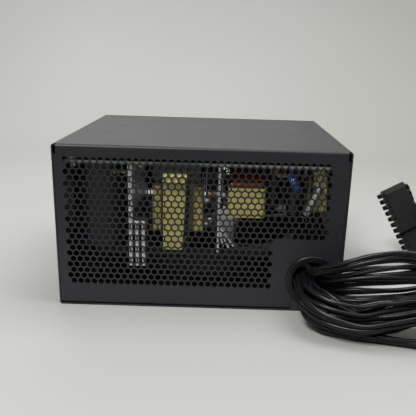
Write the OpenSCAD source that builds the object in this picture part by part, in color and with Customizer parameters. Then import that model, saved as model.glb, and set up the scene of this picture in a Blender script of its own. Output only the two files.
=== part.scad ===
// ATX power supply unit: folded steel housing, fan, circuit board and output cables.
// The origin is the middle of the fan face, X runs along the width towards the cable exit,
// Y runs from the cable end (-Y) to the mains end (+Y) and Z runs from the fan face to the board side.

/* [Housing] */
// Width of the housing
body_w = 150; // [148:1:160]
// Depth of the housing from the cable end to the mains end
body_d = 140; // [138:1:180]
// Height of the housing
body_h = 86; // [86:1:96]
// Thickness of the folded steel sheet
sheet_t = 0.8; // [0.6:0.1:1]
// Outer radius of the folds
fold_r = 1.6; // [1.4:0.1:2.4]
// Clearance where one sheet passes another
seam_gap = 0.2; // [0.1:0.05:0.3]
// Height of the side flanges folded from the top plate
flange_h = 9.2; // [8:0.2:12]
// Height of the joggled lip that the cover slides over
lip_h = 6; // [4:0.5:7]
// Width of the bend reliefs at the upper corners of the cable end
relief_w = 1.1; // [0.8:0.1:1.6]
// Height of the bend reliefs from the top
relief_h = 5; // [3:0.2:6]
// Depth of the feet folded in at the bottom of both end walls
foot_d = 9; // [8:0.5:10]

/* [Cable-end grille] */
// Distance between neighbouring vent holes
hole_pitch = 3.55; // [3.4:0.05:4]
// Width of a vent hole across its flats
hole_flats = 2.8; // [2.2:0.1:3]
// From the left side to the first hole centre
grille_left = 6.64; // [5:0.2:12]
// Solid margin at the right side
grille_right = 10; // [8:0.5:14]
// From the top to the first row of holes
grille_top = 7.7; // [7:0.1:12]
// Solid margin under the last row
grille_bottom = 13.5; // [12:0.5:20]
// Width of the solid corner round the cable exit
corner_w = 37.5; // [34:0.5:42]
// Height of the solid corner round the cable exit
corner_h = 40; // [38:0.5:44]

/* [Cable exit] */
// Centre of the exit from the right side
exit_side = 16.1; // [15:0.1:18]
// Centre of the exit above the fan face
exit_up = 18; // [17:0.5:20]
// Radius of the bushing's bore
bushing_bore = 10.4; // [9.8:0.1:10.6]
// Wall of the bushing where it passes the sheet
bushing_wall = 0.9; // [0.7:0.1:1]
// Width of the bushing's flanges beyond its wall
bushing_rim = 2.3; // [1.6:0.1:2.6]
// How far the bushing stands out of the cable end
bushing_proud = 1.6; // [1.4:0.2:4]
// Height of the cover's tab that closes the slot
tab_h = 9.4; // [7:0.2:10]

/* [Fan] */
// Side of the square fan frame
fan_size = 120; // [116:1:120]
// Thickness of the fan
fan_t = 25; // [20:1:25]
// Distance of the fan screws from the edges of the frame
fan_screw_in = 7.5; // [6:0.25:8.5]
// Distance of the fan's centre from the middle towards the mains end
fan_shift = 2; // [1:0.5:3]
// Wall of the fan's barrel where it meets the sides of the frame
fan_wall = 2.5; // [2:0.25:4]
// Gap between the blade tips and the bore
tip_gap = 1.2; // [0.8:0.1:2]
// Number of blades
blades = 9; // [5:1:11]
// Radius of the hub
hub_r = 20.5; // [19:0.5:22]
// Wall of the hub
hub_wall = 1.3; // [1:0.1:1.6]
// Radius of the fan shaft
shaft_r = 1.5; // [1.2:0.1:2]
// Radial running clearance of the shaft
shaft_gap = 0.05; // [0.03:0.01:0.08]
// Depth of the stamped recess that the guard lies in
recess_depth = 3.6; // [3.4:0.1:4.4]
// How much smaller than the frame the recess is at each side
recess_in = 1; // [0.5:0.25:2]
// Inner corner radius of the recess
recess_corner = 9; // [7:0.5:10]
// Diameter of the guard's wire
guard_wire = 1.6; // [1.4:0.1:1.8]
// Distance between the guard's rings
guard_pitch = 9.4; // [8:0.2:11]

/* [Circuit board] */
// Thickness of the board
board_t = 1.6; // [1.2:0.1:2]
// Height of the standoffs between the board and the top plate
standoff_h = 7.6; // [6:0.1:8]
// Distance of the board's edge behind the cable end
board_front = 4; // [3:0.5:5]
// Distance of the board's edge from the mains end
board_back = 4; // [3:0.5:8]
// Distance of the board's edge from both sides
board_side = 4.5; // [3:0.5:6]

/* [Mains end] */
// Distance of the inlet's centre left of the middle
inlet_left = 39; // [36:1:42]
// Height of the inlet's and switch's centre
inlet_up = 48; // [46:1:50]
// Width of the inlet's flange
inlet_flange_w = 48; // [46:1:50]
// Height of the inlet's flange
inlet_flange_h = 23; // [22:0.5:26]
// How far inlet and switch stand out of the mains end
inlet_proud = 3; // [2:0.2:4]
// Distance between the inlet's screws
inlet_screws_apart = 40; // [39:0.5:41]
// Distance of the switch's centre left of the middle
switch_left = 1; // [0:0.5:3]
// From the sides to the threaded mounting holes
mount_in = 6; // [5:0.5:7]
// From the top to the upper threaded holes
mount_down = 16; // [15:0.5:18]
// Height of the lower threaded holes
mount_up = 6; // [5:0.5:8]
// Distance of the stepped-in lower hole from the left side
mount_step = 30; // [28:1:32]
// Half the angle that the rocker swings through
rocker_tilt = 9; // [6:1:12]
// Distance between neighbouring holes of the mains-end vent
vent_pitch = 6; // [5.6:0.1:7]
// Width of these holes across their flats
vent_flats = 5; // [4:0.1:5.2]
// Radius of the threaded mounting holes
mount_r = 1.4; // [1.35:0.05:1.75]

/* [Cables] */
// Pitch of the connector terminals
pin_pitch = 4.2; // [4.2:0.1:4.3]

/* [Hidden] */

steel = [0.16, 0.16, 0.17];
black_plastic = [0.05, 0.05, 0.055];
bright_metal = [0.75, 0.75, 0.74];
tape_yellow = [0.80, 0.72, 0.30];
copper_red = [0.62, 0.22, 0.12];
board_green = [0.10, 0.28, 0.16];
ferrite = [0.12, 0.12, 0.13];
brass = [0.72, 0.60, 0.30];

round_fn = 48;
eps = 0.01;

right = body_w / 2;
front = -body_d / 2;
back = body_d / 2;
wall_side = right - sheet_t - seam_gap;
wall_bottom = sheet_t + seam_gap;
seam_z = body_h - flange_h;

// Places worked out from the sizes above
exit_x = right - exit_side;
slot_half = bushing_bore + bushing_wall - 0.9;
hex_r = hole_flats / sqrt(3);
row_pitch = hole_pitch * sqrt(3) / 2;
vent_r = vent_flats / sqrt(3);
vent_row = vent_pitch * sqrt(3) / 2;

fan_bore = fan_size - 2 * fan_wall;
fan_screws_apart = fan_size - 2 * fan_screw_in;
recess_size = fan_size - 2 * recess_in;
fan_z = recess_depth + sheet_t;
fan_top = fan_z + fan_t;
fan_front = fan_shift - fan_size / 2;
foot_back = min(foot_d, back - fan_shift - recess_size / 2 - sheet_t - 2 * seam_gap);
fan_hole_r = 2.15;
fan_screw_r = 2.1;
screw_head_t = 1.9;
eyelet_t = 1.4;
eyelet_r = 4.4;
hub_front = fan_z + 1.4;
hub_depth = fan_t - 7;
motor_plate_t = 2.4;

board_top = body_h - sheet_t - standoff_h;
board_z = board_top - board_t;
board_x = right - board_side;
board_y0 = front + board_front;
board_y1 = back - board_back;

inlet_y = back + inlet_proud;
inlet_body_w = 27;
inlet_body_h = 19.6;
inlet_depth = 19;
socket_w = 24;
socket_h = 16.4;
socket_depth = 16;
switch_w = 13;
switch_h = 19.2;
switch_rim = 1.2;
switch_depth = 14;

// Screws that hold the cover, as [x, y]
cover_screw_in = 4.6;
cover_screw_places = [
    [-right + 9, front + cover_screw_in],
    [exit_x - slot_half - 7, front + cover_screw_in],
    [-right + 9, back - cover_screw_in],
    [right - 9, back - cover_screw_in]];
cover_screw_r = 1.45;
cover_head_r = 2.9;

// Threaded holes of the mains end, as [x, z]
mount_places = [
    [-right + mount_in, body_h - mount_down],
    [right - mount_in, body_h - mount_down],
    [-right + mount_step, mount_up],
    [right - mount_in, mount_up]];

// Routes of the harnesses, from inside the bushing to the hank or connector
main_r = 5.4;
cpu_r = 3.1;
graphics_r = 3.1;
sata_r = 2.5;
drive_r = 2.3;
tie_t = 0.9;
hank_z = tie_t + 0.2;
main_plug_at = [125.4, 19.2, 22.4];
cpu_plug_at = [131, -62.5, 5];
graphics_plug_at = [141, -22.5, 5];
main_route = [[54.7, -66, 17.5], [54.7, -80, 17.5], [57, -92, 17], [66, -101, 16], [82, -105, 15],
    [105, -105, 14], [130, -104.5, 11], [155, -104, 8], [180, -104, 6], [210, -104, 5.6], [240, -104, 5.6],
    [265, -104, 5.6], [297, -95, 5.6], [320, -72, 5.6], [328, -41, 5.6], [320, -10, 5.6], [297, 13, 5.6],
    [265, 22, 5.6], [240, 23.5, 9.5], [220, 24.5, 19], [200, 25, 30], [180, 25, 37], [163, 24.6, 38],
    [150.3, 23.3, 34.4], [141.4, 21.9, 30.1]];
cpu_route = [[62.5, -66, 22.6], [62.5, -77, 23], [65, -85, 24.5], [73, -91, 27.5], [90, -94, 31],
    [110, -95, 32], [130, -94, 25], [150, -93.5, 15], [160, -93.5, 10.4]];
cpu_tail = [[160, -62.5, 4.2], [149, -62.5, 5]];
graphics_route = [[64.5, -66, 16], [64.5, -76, 16], [67, -83, 16], [74, -88, 15.5], [90, -90, 15],
    [110, -88, 15.5], [130, -79, 18], [148, -65, 18.5], [160, -57, 15], [172, -53.5, 10.4]];
graphics_tail = [[172, -22.5, 4.2], [159, -22.5, 5]];
sata_route = [[60.7, -66, 11.4], [60, -77, 10.5], [57.5, -86, 9], [57, -95, 7], [62, -103, 4.6],
    [74, -109, 2.8], [90, -113.5, 2.8], [108, -117, 2.8], [130, -119.5, 3.2], [158, -120, 3.6]];
sata_tail = [[158, -145, 8.6], [146, -145, 4]];
drive_route = [[56.6, -66, 25.2], [56.6, -80, 26], [59, -90, 29], [68, -97, 33], [85, -99, 38],
    [105, -100, 40], [125, -105, 36], [143, -114, 27], [153, -120, 20.5], [161, -121, 18.3]];
drive_tail = [[249, -121, 13.8], [258, -121, 13.2], [268, -122, 8.6], [278, -124, 4.6]];

standoff_places = [
    [-board_x + 4, board_y0 + 4], [board_x - 7, board_y0 + 34],
    [-board_x + 7, board_y1 - 8], [board_x - 7, board_y1 - 8]];

// A rectangle with true round corners, centred
module round_rect(w, d, r) {
    square([w - 2 * r, d], center = true);
    square([w, d - 2 * r], center = true);
    for (sx = [-1, 1], sy = [-1, 1])
        translate([sx * (w / 2 - r), sy * (d / 2 - r)]) circle(r, $fn = round_fn);
}

// Stands a drawing in X and Z upright; it grows from y towards the mains end
module upright(y, depth) {
    translate([0, y + depth, 0]) rotate([90, 0, 0]) linear_extrude(depth) children();
}

// Carries a profile drawn in Y and Z along X from x0 to x1
module along_x(x0, x1) {
    translate([x0, 0, 0]) rotate([90, 0, 90]) linear_extrude(x1 - x0) children();
}

// A quarter of a folded edge in Y and Z: the corner is at the origin, material lies towards +Y and -Z
module fold_profile() {
    intersection() {
        translate([fold_r, -fold_r]) difference() {
            circle(fold_r, $fn = round_fn);
            circle(fold_r - sheet_t, $fn = round_fn);
        }
        translate([0, -fold_r]) square(fold_r);
    }
}

// A six-sided hole outline with a corner at the top
module hex_hole(r) {
    rotate(90) circle(r, $fn = 6);
}

function grille_x(i, j) = -right + grille_left + (i + 0.5 * (j % 2)) * hole_pitch;
function grille_z(j) = body_h - grille_top - j * row_pitch;
grille_columns = floor((body_w - grille_left - grille_right - hole_pitch / 2) / hole_pitch);
grille_rows = floor((body_h - grille_top - grille_bottom) / row_pitch);

module grille_holes() {
    for (j = [0:grille_rows], i = [0:grille_columns])
        if (grille_x(i, j) < right - corner_w || grille_z(j) > corner_h)
            translate([grille_x(i, j), grille_z(j)]) hex_hole(hex_r);
}

// Opening for the bushing, slotted down to the fan face so that it can drop in
module exit_opening() {
    translate([exit_x, exit_up]) circle(bushing_bore + bushing_wall, $fn = round_fn);
    translate([exit_x - slot_half, 0]) square([2 * slot_half, exit_up]);
}

module cable_end_wall() color(steel) {
    upright(front, sheet_t) difference() {
        translate([-wall_side, wall_bottom + fold_r])
            square([2 * wall_side, body_h - wall_bottom - 2 * fold_r]);
        grille_holes();
        exit_opening();
        // Bend reliefs at both upper corners
        for (s = [-1, 1]) translate([s * wall_side, body_h]) square(2 * [relief_w, relief_h], center = true);
    }
    // Fold into the top plate
    along_x(-wall_side + relief_w, wall_side - relief_w) translate([front, body_h]) fold_profile();
    // Fold and foot at the bottom, left and right of the exit slot
    for (span = [[-wall_side, exit_x - slot_half], [exit_x + slot_half, wall_side]])
        difference() {
            along_x(span[0], span[1]) {
                translate([front, wall_bottom]) mirror([0, 1]) fold_profile();
                translate([front + fold_r, wall_bottom]) square([foot_d - fold_r, sheet_t]);
            }
            for (p = cover_screw_places)
                translate([p[0], p[1], 0]) cylinder(r = cover_screw_r + 0.02, h = body_h / 2, $fn = round_fn);
        }
}

function vent_x(i, j) = (i + 0.5 * abs(j % 2)) * vent_pitch;
function clear_of_mounts(x, z) =
    min([for (p = mount_places) norm([x - p[0], z - p[1]])]) > 3.4 + vent_r;
function clear_of_inlet(x, z) =
    abs(z - inlet_up) > inlet_flange_h / 2 + vent_r + 1
    || (x < -inlet_left - inlet_flange_w / 2 - vent_r - 1)
    || (x > -switch_left + switch_w / 2 + switch_rim + vent_r + 1);

module vent_holes() {
    columns = floor((right - 9) / vent_pitch);
    rows = floor((body_h - 18) / vent_row);
    for (j = [0:rows], i = [-columns:columns - 1])
        let (x = vent_x(i, j), z = 10 + j * vent_row)
            if (z < board_z - vent_r && clear_of_mounts(x, z) && clear_of_inlet(x, z))
                translate([x, z]) hex_hole(vent_r);
}

module mains_end_wall() color(steel) {
    difference() {
        union() {
            upright(back - sheet_t, sheet_t) difference() {
                translate([-wall_side, wall_bottom + fold_r])
                    square([2 * wall_side, body_h - wall_bottom - 2 * fold_r]);
                vent_holes();
                translate([-inlet_left, inlet_up])
                    square([inlet_body_w + 2 * seam_gap, inlet_body_h + 2 * seam_gap], center = true);
                translate([-switch_left, inlet_up])
                    square([switch_w + 2 * seam_gap, switch_h + 2 * seam_gap], center = true);
                for (s = [-1, 1])
                    translate([-inlet_left + s * inlet_screws_apart / 2, inlet_up])
                        circle(1.55, $fn = round_fn);
            }
            along_x(-wall_side, wall_side) translate([back, body_h]) mirror([1, 0]) fold_profile();
            along_x(-wall_side, wall_side) {
                translate([back, wall_bottom]) mirror([1, 0]) mirror([0, 1]) fold_profile();
                translate([back - foot_back, wall_bottom]) square([foot_back - fold_r, sheet_t]);
            }
            // Drawn collars of the threaded holes
            for (p = mount_places)
                translate([p[0], back, p[1]]) rotate([90, 0, 0])
                    cylinder(r = mount_r + 0.9, h = 3 * sheet_t, $fn = round_fn);
        }
        for (p = mount_places)
            translate([p[0], back + 1, p[1]]) rotate([90, 0, 0]) cylinder(r = mount_r, h = 8, $fn = round_fn);
        for (p = cover_screw_places)
            translate([p[0], p[1], 0]) cylinder(r = cover_screw_r + 0.02, h = 4, $fn = round_fn);
    }
}

// Top plate with its side flanges; the joggled lips stand inside the cover's sides
module tray() color(steel) {
    flange_top = body_h - fold_r;
    translate([-right + fold_r, front + fold_r, body_h - sheet_t])
        cube([body_w - 2 * fold_r, body_d - 2 * fold_r, sheet_t]);
    for (s = [-1, 1]) scale([s, 1, 1]) {
        translate([0, back, 0]) rotate([90, 0, 0]) linear_extrude(body_d) {
            translate([right, body_h]) mirror([1, 0]) fold_profile();
            translate([right - sheet_t, seam_z]) square([sheet_t, flange_h - fold_r]);
        }
        translate([right - 2 * sheet_t - seam_gap, front + foot_d, seam_z - lip_h])
            cube([sheet_t, body_d - 2 * foot_d, lip_h + 3]);
        translate([right - 2 * sheet_t - seam_gap, front + foot_d, seam_z + 2.2])
            cube([sheet_t + seam_gap + eps, body_d - 2 * foot_d, sheet_t]);
    }
}

// Cover: fan face with the stamped recess, both sides and the tab under the cable exit
module recess_outline(grow) {
    translate([0, fan_shift])
        round_rect(recess_size + 2 * grow, recess_size + 2 * grow, recess_corner + grow);
}

module fan_hole_places() {
    for (sx = [-1, 1], sy = [-1, 1])
        translate([sx * fan_screws_apart / 2, fan_shift + sy * fan_screws_apart / 2, 0]) children();
}

module fan_cover() color(steel) {
    side_h = seam_z - seam_gap - fold_r;
    difference() {
        union() {
            linear_extrude(sheet_t) difference() {
                translate([0, (front + back) / 2]) square([body_w - 2 * fold_r, body_d], center = true);
                recess_outline(0);
            }
            linear_extrude(fan_z) difference() {
                recess_outline(sheet_t);
                recess_outline(0);
            }
            translate([0, 0, recess_depth]) linear_extrude(sheet_t) difference() {
                recess_outline(sheet_t);
                translate([0, fan_shift]) circle(fan_bore / 2, $fn = 96);
            }
            for (s = [-1, 1]) scale([s, 1, 1]) translate([0, back, 0]) rotate([90, 0, 0])
                linear_extrude(body_d) {
                    translate([right, 0]) mirror([1, 0]) mirror([0, 1]) fold_profile();
                    translate([right - sheet_t, fold_r]) square([sheet_t, side_h]);
                }
            upright(front, sheet_t) difference() {
                translate([exit_x - slot_half + seam_gap, sheet_t / 2])
                    square([2 * (slot_half - seam_gap), tab_h - sheet_t / 2]);
                translate([exit_x, exit_up]) circle(bushing_bore + bushing_wall + seam_gap, $fn = round_fn);
            }
        }
        fan_hole_places() cylinder(r = fan_hole_r + 0.2, h = fan_z + 1, $fn = round_fn);
        for (p = cover_screw_places)
            translate([p[0], p[1], -eps])
                cylinder(r1 = cover_head_r + 0.1, r2 = cover_screw_r + 0.5, h = sheet_t + 2 * eps,
                    $fn = round_fn);
    }
}

module cover_screws() color(steel) {
    for (p = cover_screw_places) translate([p[0], p[1], 0.05]) difference() {
        union() {
            cylinder(r1 = cover_head_r - 0.05, r2 = cover_screw_r, h = sheet_t, $fn = round_fn);
            cylinder(r = cover_screw_r, h = 6, $fn = round_fn);
        }
        for (a = [0, 90]) rotate(a) translate([-1.4, -0.3, -1]) cube([2.8, 0.6, 1.6]);
    }
}

// Round bushing that snaps into the sheet: an outer and an inner rim with a groove between them
module cable_bushing() color(black_plastic) {
    groove = bushing_bore + bushing_wall - 0.1;
    outer = bushing_bore + bushing_wall + bushing_rim;
    rounding = bushing_proud / 2;
    translate([exit_x, front, exit_up]) rotate([-90, 0, 0]) rotate_extrude($fn = 64) {
        // Sleeve through the sheet
        translate([bushing_bore, -bushing_proud])
            square([groove - bushing_bore, bushing_proud + sheet_t + 1.6]);
        // Outer rim with a rounded edge
        translate([bushing_bore, -bushing_proud]) square([outer - bushing_bore - rounding, bushing_proud]);
        translate([bushing_bore, -rounding]) square([outer - bushing_bore, rounding]);
        translate([outer - rounding, -rounding]) circle(rounding, $fn = 24);
        // Inner rim, low enough to snap through
        translate([bushing_bore, sheet_t + 0.1]) square([groove - bushing_bore + 1.1, 1.5]);
    }
}

// Wire guard: rings under four diagonal legs that end in flat eyelets
module fan_guard() color(bright_metal) {
    ring_z = recess_depth - 1.5 * guard_wire + 0.2;
    leg_z = recess_depth - guard_wire / 2 - 0.05;
    rings = floor((fan_bore / 2 - 3) / guard_pitch);
    reach = fan_screws_apart / sqrt(2);
    translate([0, fan_shift, 0]) difference() {
        union() {
            for (k = [1:rings]) translate([0, 0, ring_z]) rotate_extrude($fn = 96)
                translate([k * guard_pitch, 0]) circle(guard_wire / 2, $fn = 16);
            for (a = [45:90:315]) rotate(a) translate([guard_pitch - 1, 0, leg_z]) rotate([0, 90, 0])
                cylinder(r = guard_wire / 2, h = reach - eyelet_r + 0.4 - guard_pitch + 1, $fn = 16);
            for (a = [45:90:315]) rotate(a) translate([reach, 0, recess_depth - eyelet_t - 0.05])
                cylinder(r = eyelet_r, h = eyelet_t, $fn = round_fn);
        }
        for (a = [45:90:315]) rotate(a) translate([reach, 0, -1])
            cylinder(r = fan_hole_r + 0.2, h = fan_z + 2, $fn = round_fn);
    }
}

module fan_screws() color(steel) {
    head_z = recess_depth - eyelet_t - 0.1;
    fan_hole_places() difference() {
        union() {
            translate([0, 0, head_z - screw_head_t])
                cylinder(r = 3.5, h = screw_head_t - 0.5, $fn = round_fn);
            translate([0, 0, head_z - 0.5]) cylinder(r = 3.7, h = 0.5, $fn = round_fn);
            translate([0, 0, head_z - 0.5]) cylinder(r = fan_screw_r, h = 11, $fn = round_fn);
        }
        for (a = [0, 90]) rotate(a) translate([-2, -0.4, head_z - screw_head_t - 1]) cube([4, 0.8, 2.2]);
    }
}

// Fan frame: two flanges, a barrel and struts that carry the motor plate
module fan_frame() color(black_plastic) {
    flange = 4;
    corner = fan_size / 2;
    translate([0, fan_shift, fan_z]) {
        difference() {
            union() {
                for (z = [0, fan_t - flange]) translate([0, 0, z]) linear_extrude(flange)
                    round_rect(fan_size, fan_size, 5);
                linear_extrude(fan_t) intersection() {
                    square(fan_size, center = true);
                    circle(fan_bore / 2 + 2.6, $fn = 96);
                }
            }
            translate([0, 0, -1]) cylinder(r = fan_bore / 2, h = fan_t + 2, $fn = 96);
            for (sx = [-1, 1], sy = [-1, 1])
                translate([sx * fan_screws_apart / 2, sy * fan_screws_apart / 2, -1])
                    cylinder(r = fan_hole_r, h = fan_t + 2, $fn = round_fn);
        }
        translate([0, 0, fan_t - motor_plate_t]) {
            difference() {
                cylinder(r = hub_r + 0.5, h = motor_plate_t, $fn = 64);
                translate([0, 0, -1]) cylinder(r = shaft_r + 2.5, h = motor_plate_t + 2, $fn = round_fn);
            }
            for (a = [20:90:290]) rotate(a) translate([hub_r - 1, -2, 0])
                cube([fan_bore / 2 - hub_r + 1.4, 4, motor_plate_t]);
        }
    }
}

// Sleeve bearing in the motor plate
module fan_bearing() color(brass) {
    translate([0, fan_shift, hub_front + hub_wall + 2]) difference() {
        cylinder(r = shaft_r + 2.5, h = fan_top - hub_front - hub_wall - 2, $fn = round_fn);
        translate([0, 0, -1]) cylinder(r = shaft_r + shaft_gap, h = fan_t, $fn = round_fn);
    }
}

// Four-pole stator round the bearing
module fan_stator() color(ferrite) {
    outer = hub_r - hub_wall - 2.4;
    z0 = hub_front + hub_wall + 4;
    z1 = fan_top - motor_plate_t;
    translate([0, fan_shift, 0]) {
        translate([0, 0, z0]) linear_extrude(z1 - z0 - 1) difference() {
            union() {
                circle(outer * 0.45, $fn = round_fn);
                intersection() {
                    circle(outer, $fn = 64);
                    for (a = [0, 90]) rotate(a) square([2 * outer, 6], center = true);
                }
                difference() {
                    circle(outer, $fn = 64);
                    circle(outer - 1.6, $fn = 64);
                    for (a = [45, 135]) rotate(a) square([2 * outer + 2, 3], center = true);
                }
            }
            circle(shaft_r + 2.5, $fn = round_fn);
        }
        translate([0, 0, z1 - 1]) difference() {
            cylinder(r = outer - 1, h = 1, $fn = 64);
            translate([0, 0, -1]) cylinder(r = shaft_r + 2.5, h = 3, $fn = round_fn);
        }
    }
}

// A fan blade as two curved skins: u runs along the span, v across the chord
blade_root = hub_r - 0.5;
blade_tip = fan_bore / 2 - tip_gap;
blade_span = 6;
blade_chord = 4;
blade_t = 1.4;
blade_low = fan_z + 2.2;
blade_high = fan_z + hub_depth - 1;
function blade_xyz(u, v, side) =
    let (r = blade_root + (blade_tip - blade_root) * u,
         half_angle = (34 - 10 * u) * (9 / max(blades, 8)),
         turn = 14 * u * u + (v - 0.5) * 2 * half_angle * 0.42,
         lean = blade_low + (blade_high - blade_low) * (0.5 + (v - 0.5) * (1 - 0.22 * u)),
         bow = 1.6 * sin(180 * v))
    [r * cos(turn), r * sin(turn), lean - bow + (side - 0.5) * blade_t * (1 - 0.5 * u)];
function blade_index(i, j, side) = side * (blade_span + 1) * (blade_chord + 1) + i * (blade_chord + 1) + j;
function quad(a, b, c, d) = [[a, b, c], [a, c, d]];
blade_points = [for (side = [0, 1], i = [0:blade_span], j = [0:blade_chord])
    blade_xyz(i / blade_span, j / blade_chord, side)];
blade_faces = concat(
    [for (i = [0:blade_span - 1], j = [0:blade_chord - 1])
        each quad(blade_index(i, j, 0), blade_index(i + 1, j, 0),
            blade_index(i + 1, j + 1, 0), blade_index(i, j + 1, 0))],
    [for (i = [0:blade_span - 1], j = [0:blade_chord - 1])
        each quad(blade_index(i, j, 1), blade_index(i, j + 1, 1),
            blade_index(i + 1, j + 1, 1), blade_index(i + 1, j, 1))],
    [for (i = [0:blade_span - 1])
        each quad(blade_index(i, 0, 0), blade_index(i, 0, 1),
            blade_index(i + 1, 0, 1), blade_index(i + 1, 0, 0))],
    [for (i = [0:blade_span - 1])
        each quad(blade_index(i, blade_chord, 0), blade_index(i + 1, blade_chord, 0),
            blade_index(i + 1, blade_chord, 1), blade_index(i, blade_chord, 1))],
    [for (j = [0:blade_chord - 1])
        each quad(blade_index(0, j, 0), blade_index(0, j + 1, 0),
            blade_index(0, j + 1, 1), blade_index(0, j, 1))],
    [for (j = [0:blade_chord - 1])
        each quad(blade_index(blade_span, j, 0), blade_index(blade_span, j, 1),
            blade_index(blade_span, j + 1, 1), blade_index(blade_span, j + 1, 0))]);

// Hub with its shaft, magnet ring seat and blades
module fan_rotor() color(black_plastic) {
    translate([0, fan_shift, 0]) {
        difference() {
            translate([0, 0, hub_front]) cylinder(r = hub_r, h = hub_depth, $fn = 64);
            translate([0, 0, hub_front + hub_wall]) cylinder(r = hub_r - hub_wall, h = hub_depth, $fn = 64);
        }
        translate([0, 0, hub_front]) cylinder(r = shaft_r + 2, h = hub_wall + 1.6, $fn = round_fn);
        translate([0, 0, hub_front]) cylinder(r = shaft_r, h = fan_top - hub_front - 1, $fn = round_fn);
        for (k = [0:blades - 1]) rotate(k * 360 / blades)
            polyhedron(points = blade_points, faces = blade_faces, convexity = 4);
    }
}

// Circuit board, hung component side down under the top plate
module main_board() color(board_green) {
    difference() {
        translate([-board_x, board_y0, board_z]) cube([2 * board_x, board_y1 - board_y0, board_t]);
        for (p = standoff_places) translate([p[0], p[1], board_z - 1])
            cylinder(r = 1.6, h = board_t + 2, $fn = round_fn);
    }
}

module board_standoffs() color(brass) {
    for (p = standoff_places) translate([p[0], p[1], board_top]) difference() {
        cylinder(r = 3, h = standoff_h, $fn = 6);
        translate([0, 0, -1]) cylinder(r = 1.3, h = 6, $fn = round_fn);
    }
}

module board_screws() color(bright_metal) {
    for (p = standoff_places) translate([p[0], p[1], board_z]) {
        difference() {
            translate([0, 0, -1.9]) cylinder(r = 2.8, h = 1.9, $fn = round_fn);
            for (a = [0, 90]) rotate(a) translate([-1.6, -0.35, -3]) cube([3.2, 0.7, 2]);
        }
        cylinder(r = 1.25, h = board_t + 4.5, $fn = round_fn);
    }
}

// Clear insulating film between the solder side and the top plate
module insulation_sheet() color([0.85, 0.86, 0.82]) {
    difference() {
        translate([-board_x, board_y0, body_h - sheet_t - 0.35])
            cube([2 * board_x, board_y1 - board_y0, 0.35]);
        for (p = standoff_places) translate([p[0], p[1], board_z]) cylinder(r = 4, h = 20, $fn = round_fn);
    }
}

// Mains inlet: screw flange, body behind the wall and a socket with two cut corners
module socket_outline() {
    polygon([[-socket_w / 2, -socket_h / 2], [socket_w / 2, -socket_h / 2],
        [socket_w / 2, socket_h / 2 - 4.5], [socket_w / 2 - 4.5, socket_h / 2],
        [-socket_w / 2 + 4.5, socket_h / 2], [-socket_w / 2, socket_h / 2 - 4.5]]);
}

module ac_inlet() color(black_plastic) {
    translate([-inlet_left, 0, inlet_up]) difference() {
        union() {
            upright(back, inlet_proud) round_rect(inlet_flange_w, inlet_flange_h, 4);
            upright(inlet_y - inlet_depth, inlet_depth - inlet_proud / 2)
                square([inlet_body_w, inlet_body_h], center = true);
        }
        upright(inlet_y - socket_depth, socket_depth + 1) socket_outline();
        for (s = [-1, 1]) translate([s * inlet_screws_apart / 2, inlet_y + 1, 0]) rotate([90, 0, 0]) {
            cylinder(r = 1.65, h = 12, $fn = round_fn);
            cylinder(r1 = 3.9, r2 = 1.65, h = 3, $fn = round_fn);
        }
        for (p = [[-7, -2], [7, -2], [0, 2]]) upright(inlet_y - inlet_depth - 1, 6)
            translate(p) square([2.1, 4.1], center = true);
    }
}

module inlet_pins() color(bright_metal) {
    translate([-inlet_left, 0, inlet_up]) for (p = [[-7, -2], [7, -2], [0, 2]])
        upright(inlet_y - inlet_depth - 7, inlet_depth + 3) translate(p) square([2, 4], center = true);
}

module inlet_screws() color(steel) {
    for (s = [-1, 1]) translate([-inlet_left + s * inlet_screws_apart / 2, inlet_y - 0.1, inlet_up])
        rotate([90, 0, 0]) difference() {
            union() {
                cylinder(r1 = 2.95, r2 = 1.5, h = 1.5, $fn = round_fn);
                cylinder(r = 1.5, h = 8, $fn = round_fn);
            }
            for (a = [0, 90]) rotate(a) translate([-1.6, -0.35, -1]) cube([3.2, 0.7, 2]);
        }
}

// Rocker switch: framed housing, and a rocker that tilts on an axle along X
rocker_w = switch_w - 2.4;
rocker_h = switch_h - 3;
module switch_housing() color(black_plastic) {
    translate([-switch_left, 0, inlet_up]) difference() {
        union() {
            upright(back, inlet_proud - 1.2)
                round_rect(switch_w + 2 * switch_rim, switch_h + 2 * switch_rim, 1.5);
            upright(back - switch_depth, switch_depth + 1) square([switch_w, switch_h], center = true);
        }
        upright(back - switch_depth + 2, switch_depth + 4)
            square([rocker_w + 0.6, rocker_h + 1.2], center = true);
        translate([-20, back - 5, 0]) rotate([0, 90, 0]) cylinder(r = 1.25, h = 40, $fn = round_fn);
    }
}

module switch_rocker() color(black_plastic) {
    translate([-switch_left, back - 5, inlet_up]) rotate([rocker_tilt, 0, 0]) {
        rotate([90, 0, 90]) translate([0, 0, -rocker_w / 2]) linear_extrude(rocker_w) intersection() {
            union() {
                circle(3, $fn = round_fn);
                polygon([[0, -3], [5.2, -rocker_h / 2 + 1], [7.4, -rocker_h / 2 + 1], [5.8, 0],
                    [7.4, rocker_h / 2 - 1], [5.2, rocker_h / 2 - 1], [0, 3]]);
            }
            square([20, rocker_h], center = true);
        }
        translate([-switch_w / 2 + 0.1, 0, 0]) rotate([0, 90, 0])
            cylinder(r = 1.2, h = switch_w - 0.2, $fn = round_fn);
    }
}

// Parts on the board. They hang from it, and their places and sizes are written for a standard unit:
// wide, deep and tall are the shares of its width, its depth and its room above the fan.
wide = body_w / 150;
deep = body_d / 140;
tall = (board_z - fan_top) / 46.6;
share = min(wide, deep, tall);

// Puts a part x from the middle and d behind the cable end, with its origin on the board
module on_board(x, d) translate([x * wide, front + d * deep, board_z]) children();

// Hangs a drawing in X and Z from the board; it runs from y0 over depth
module hung(y0, depth) upright(y0, depth) translate([0, board_z]) scale([wide, tall]) children();

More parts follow.
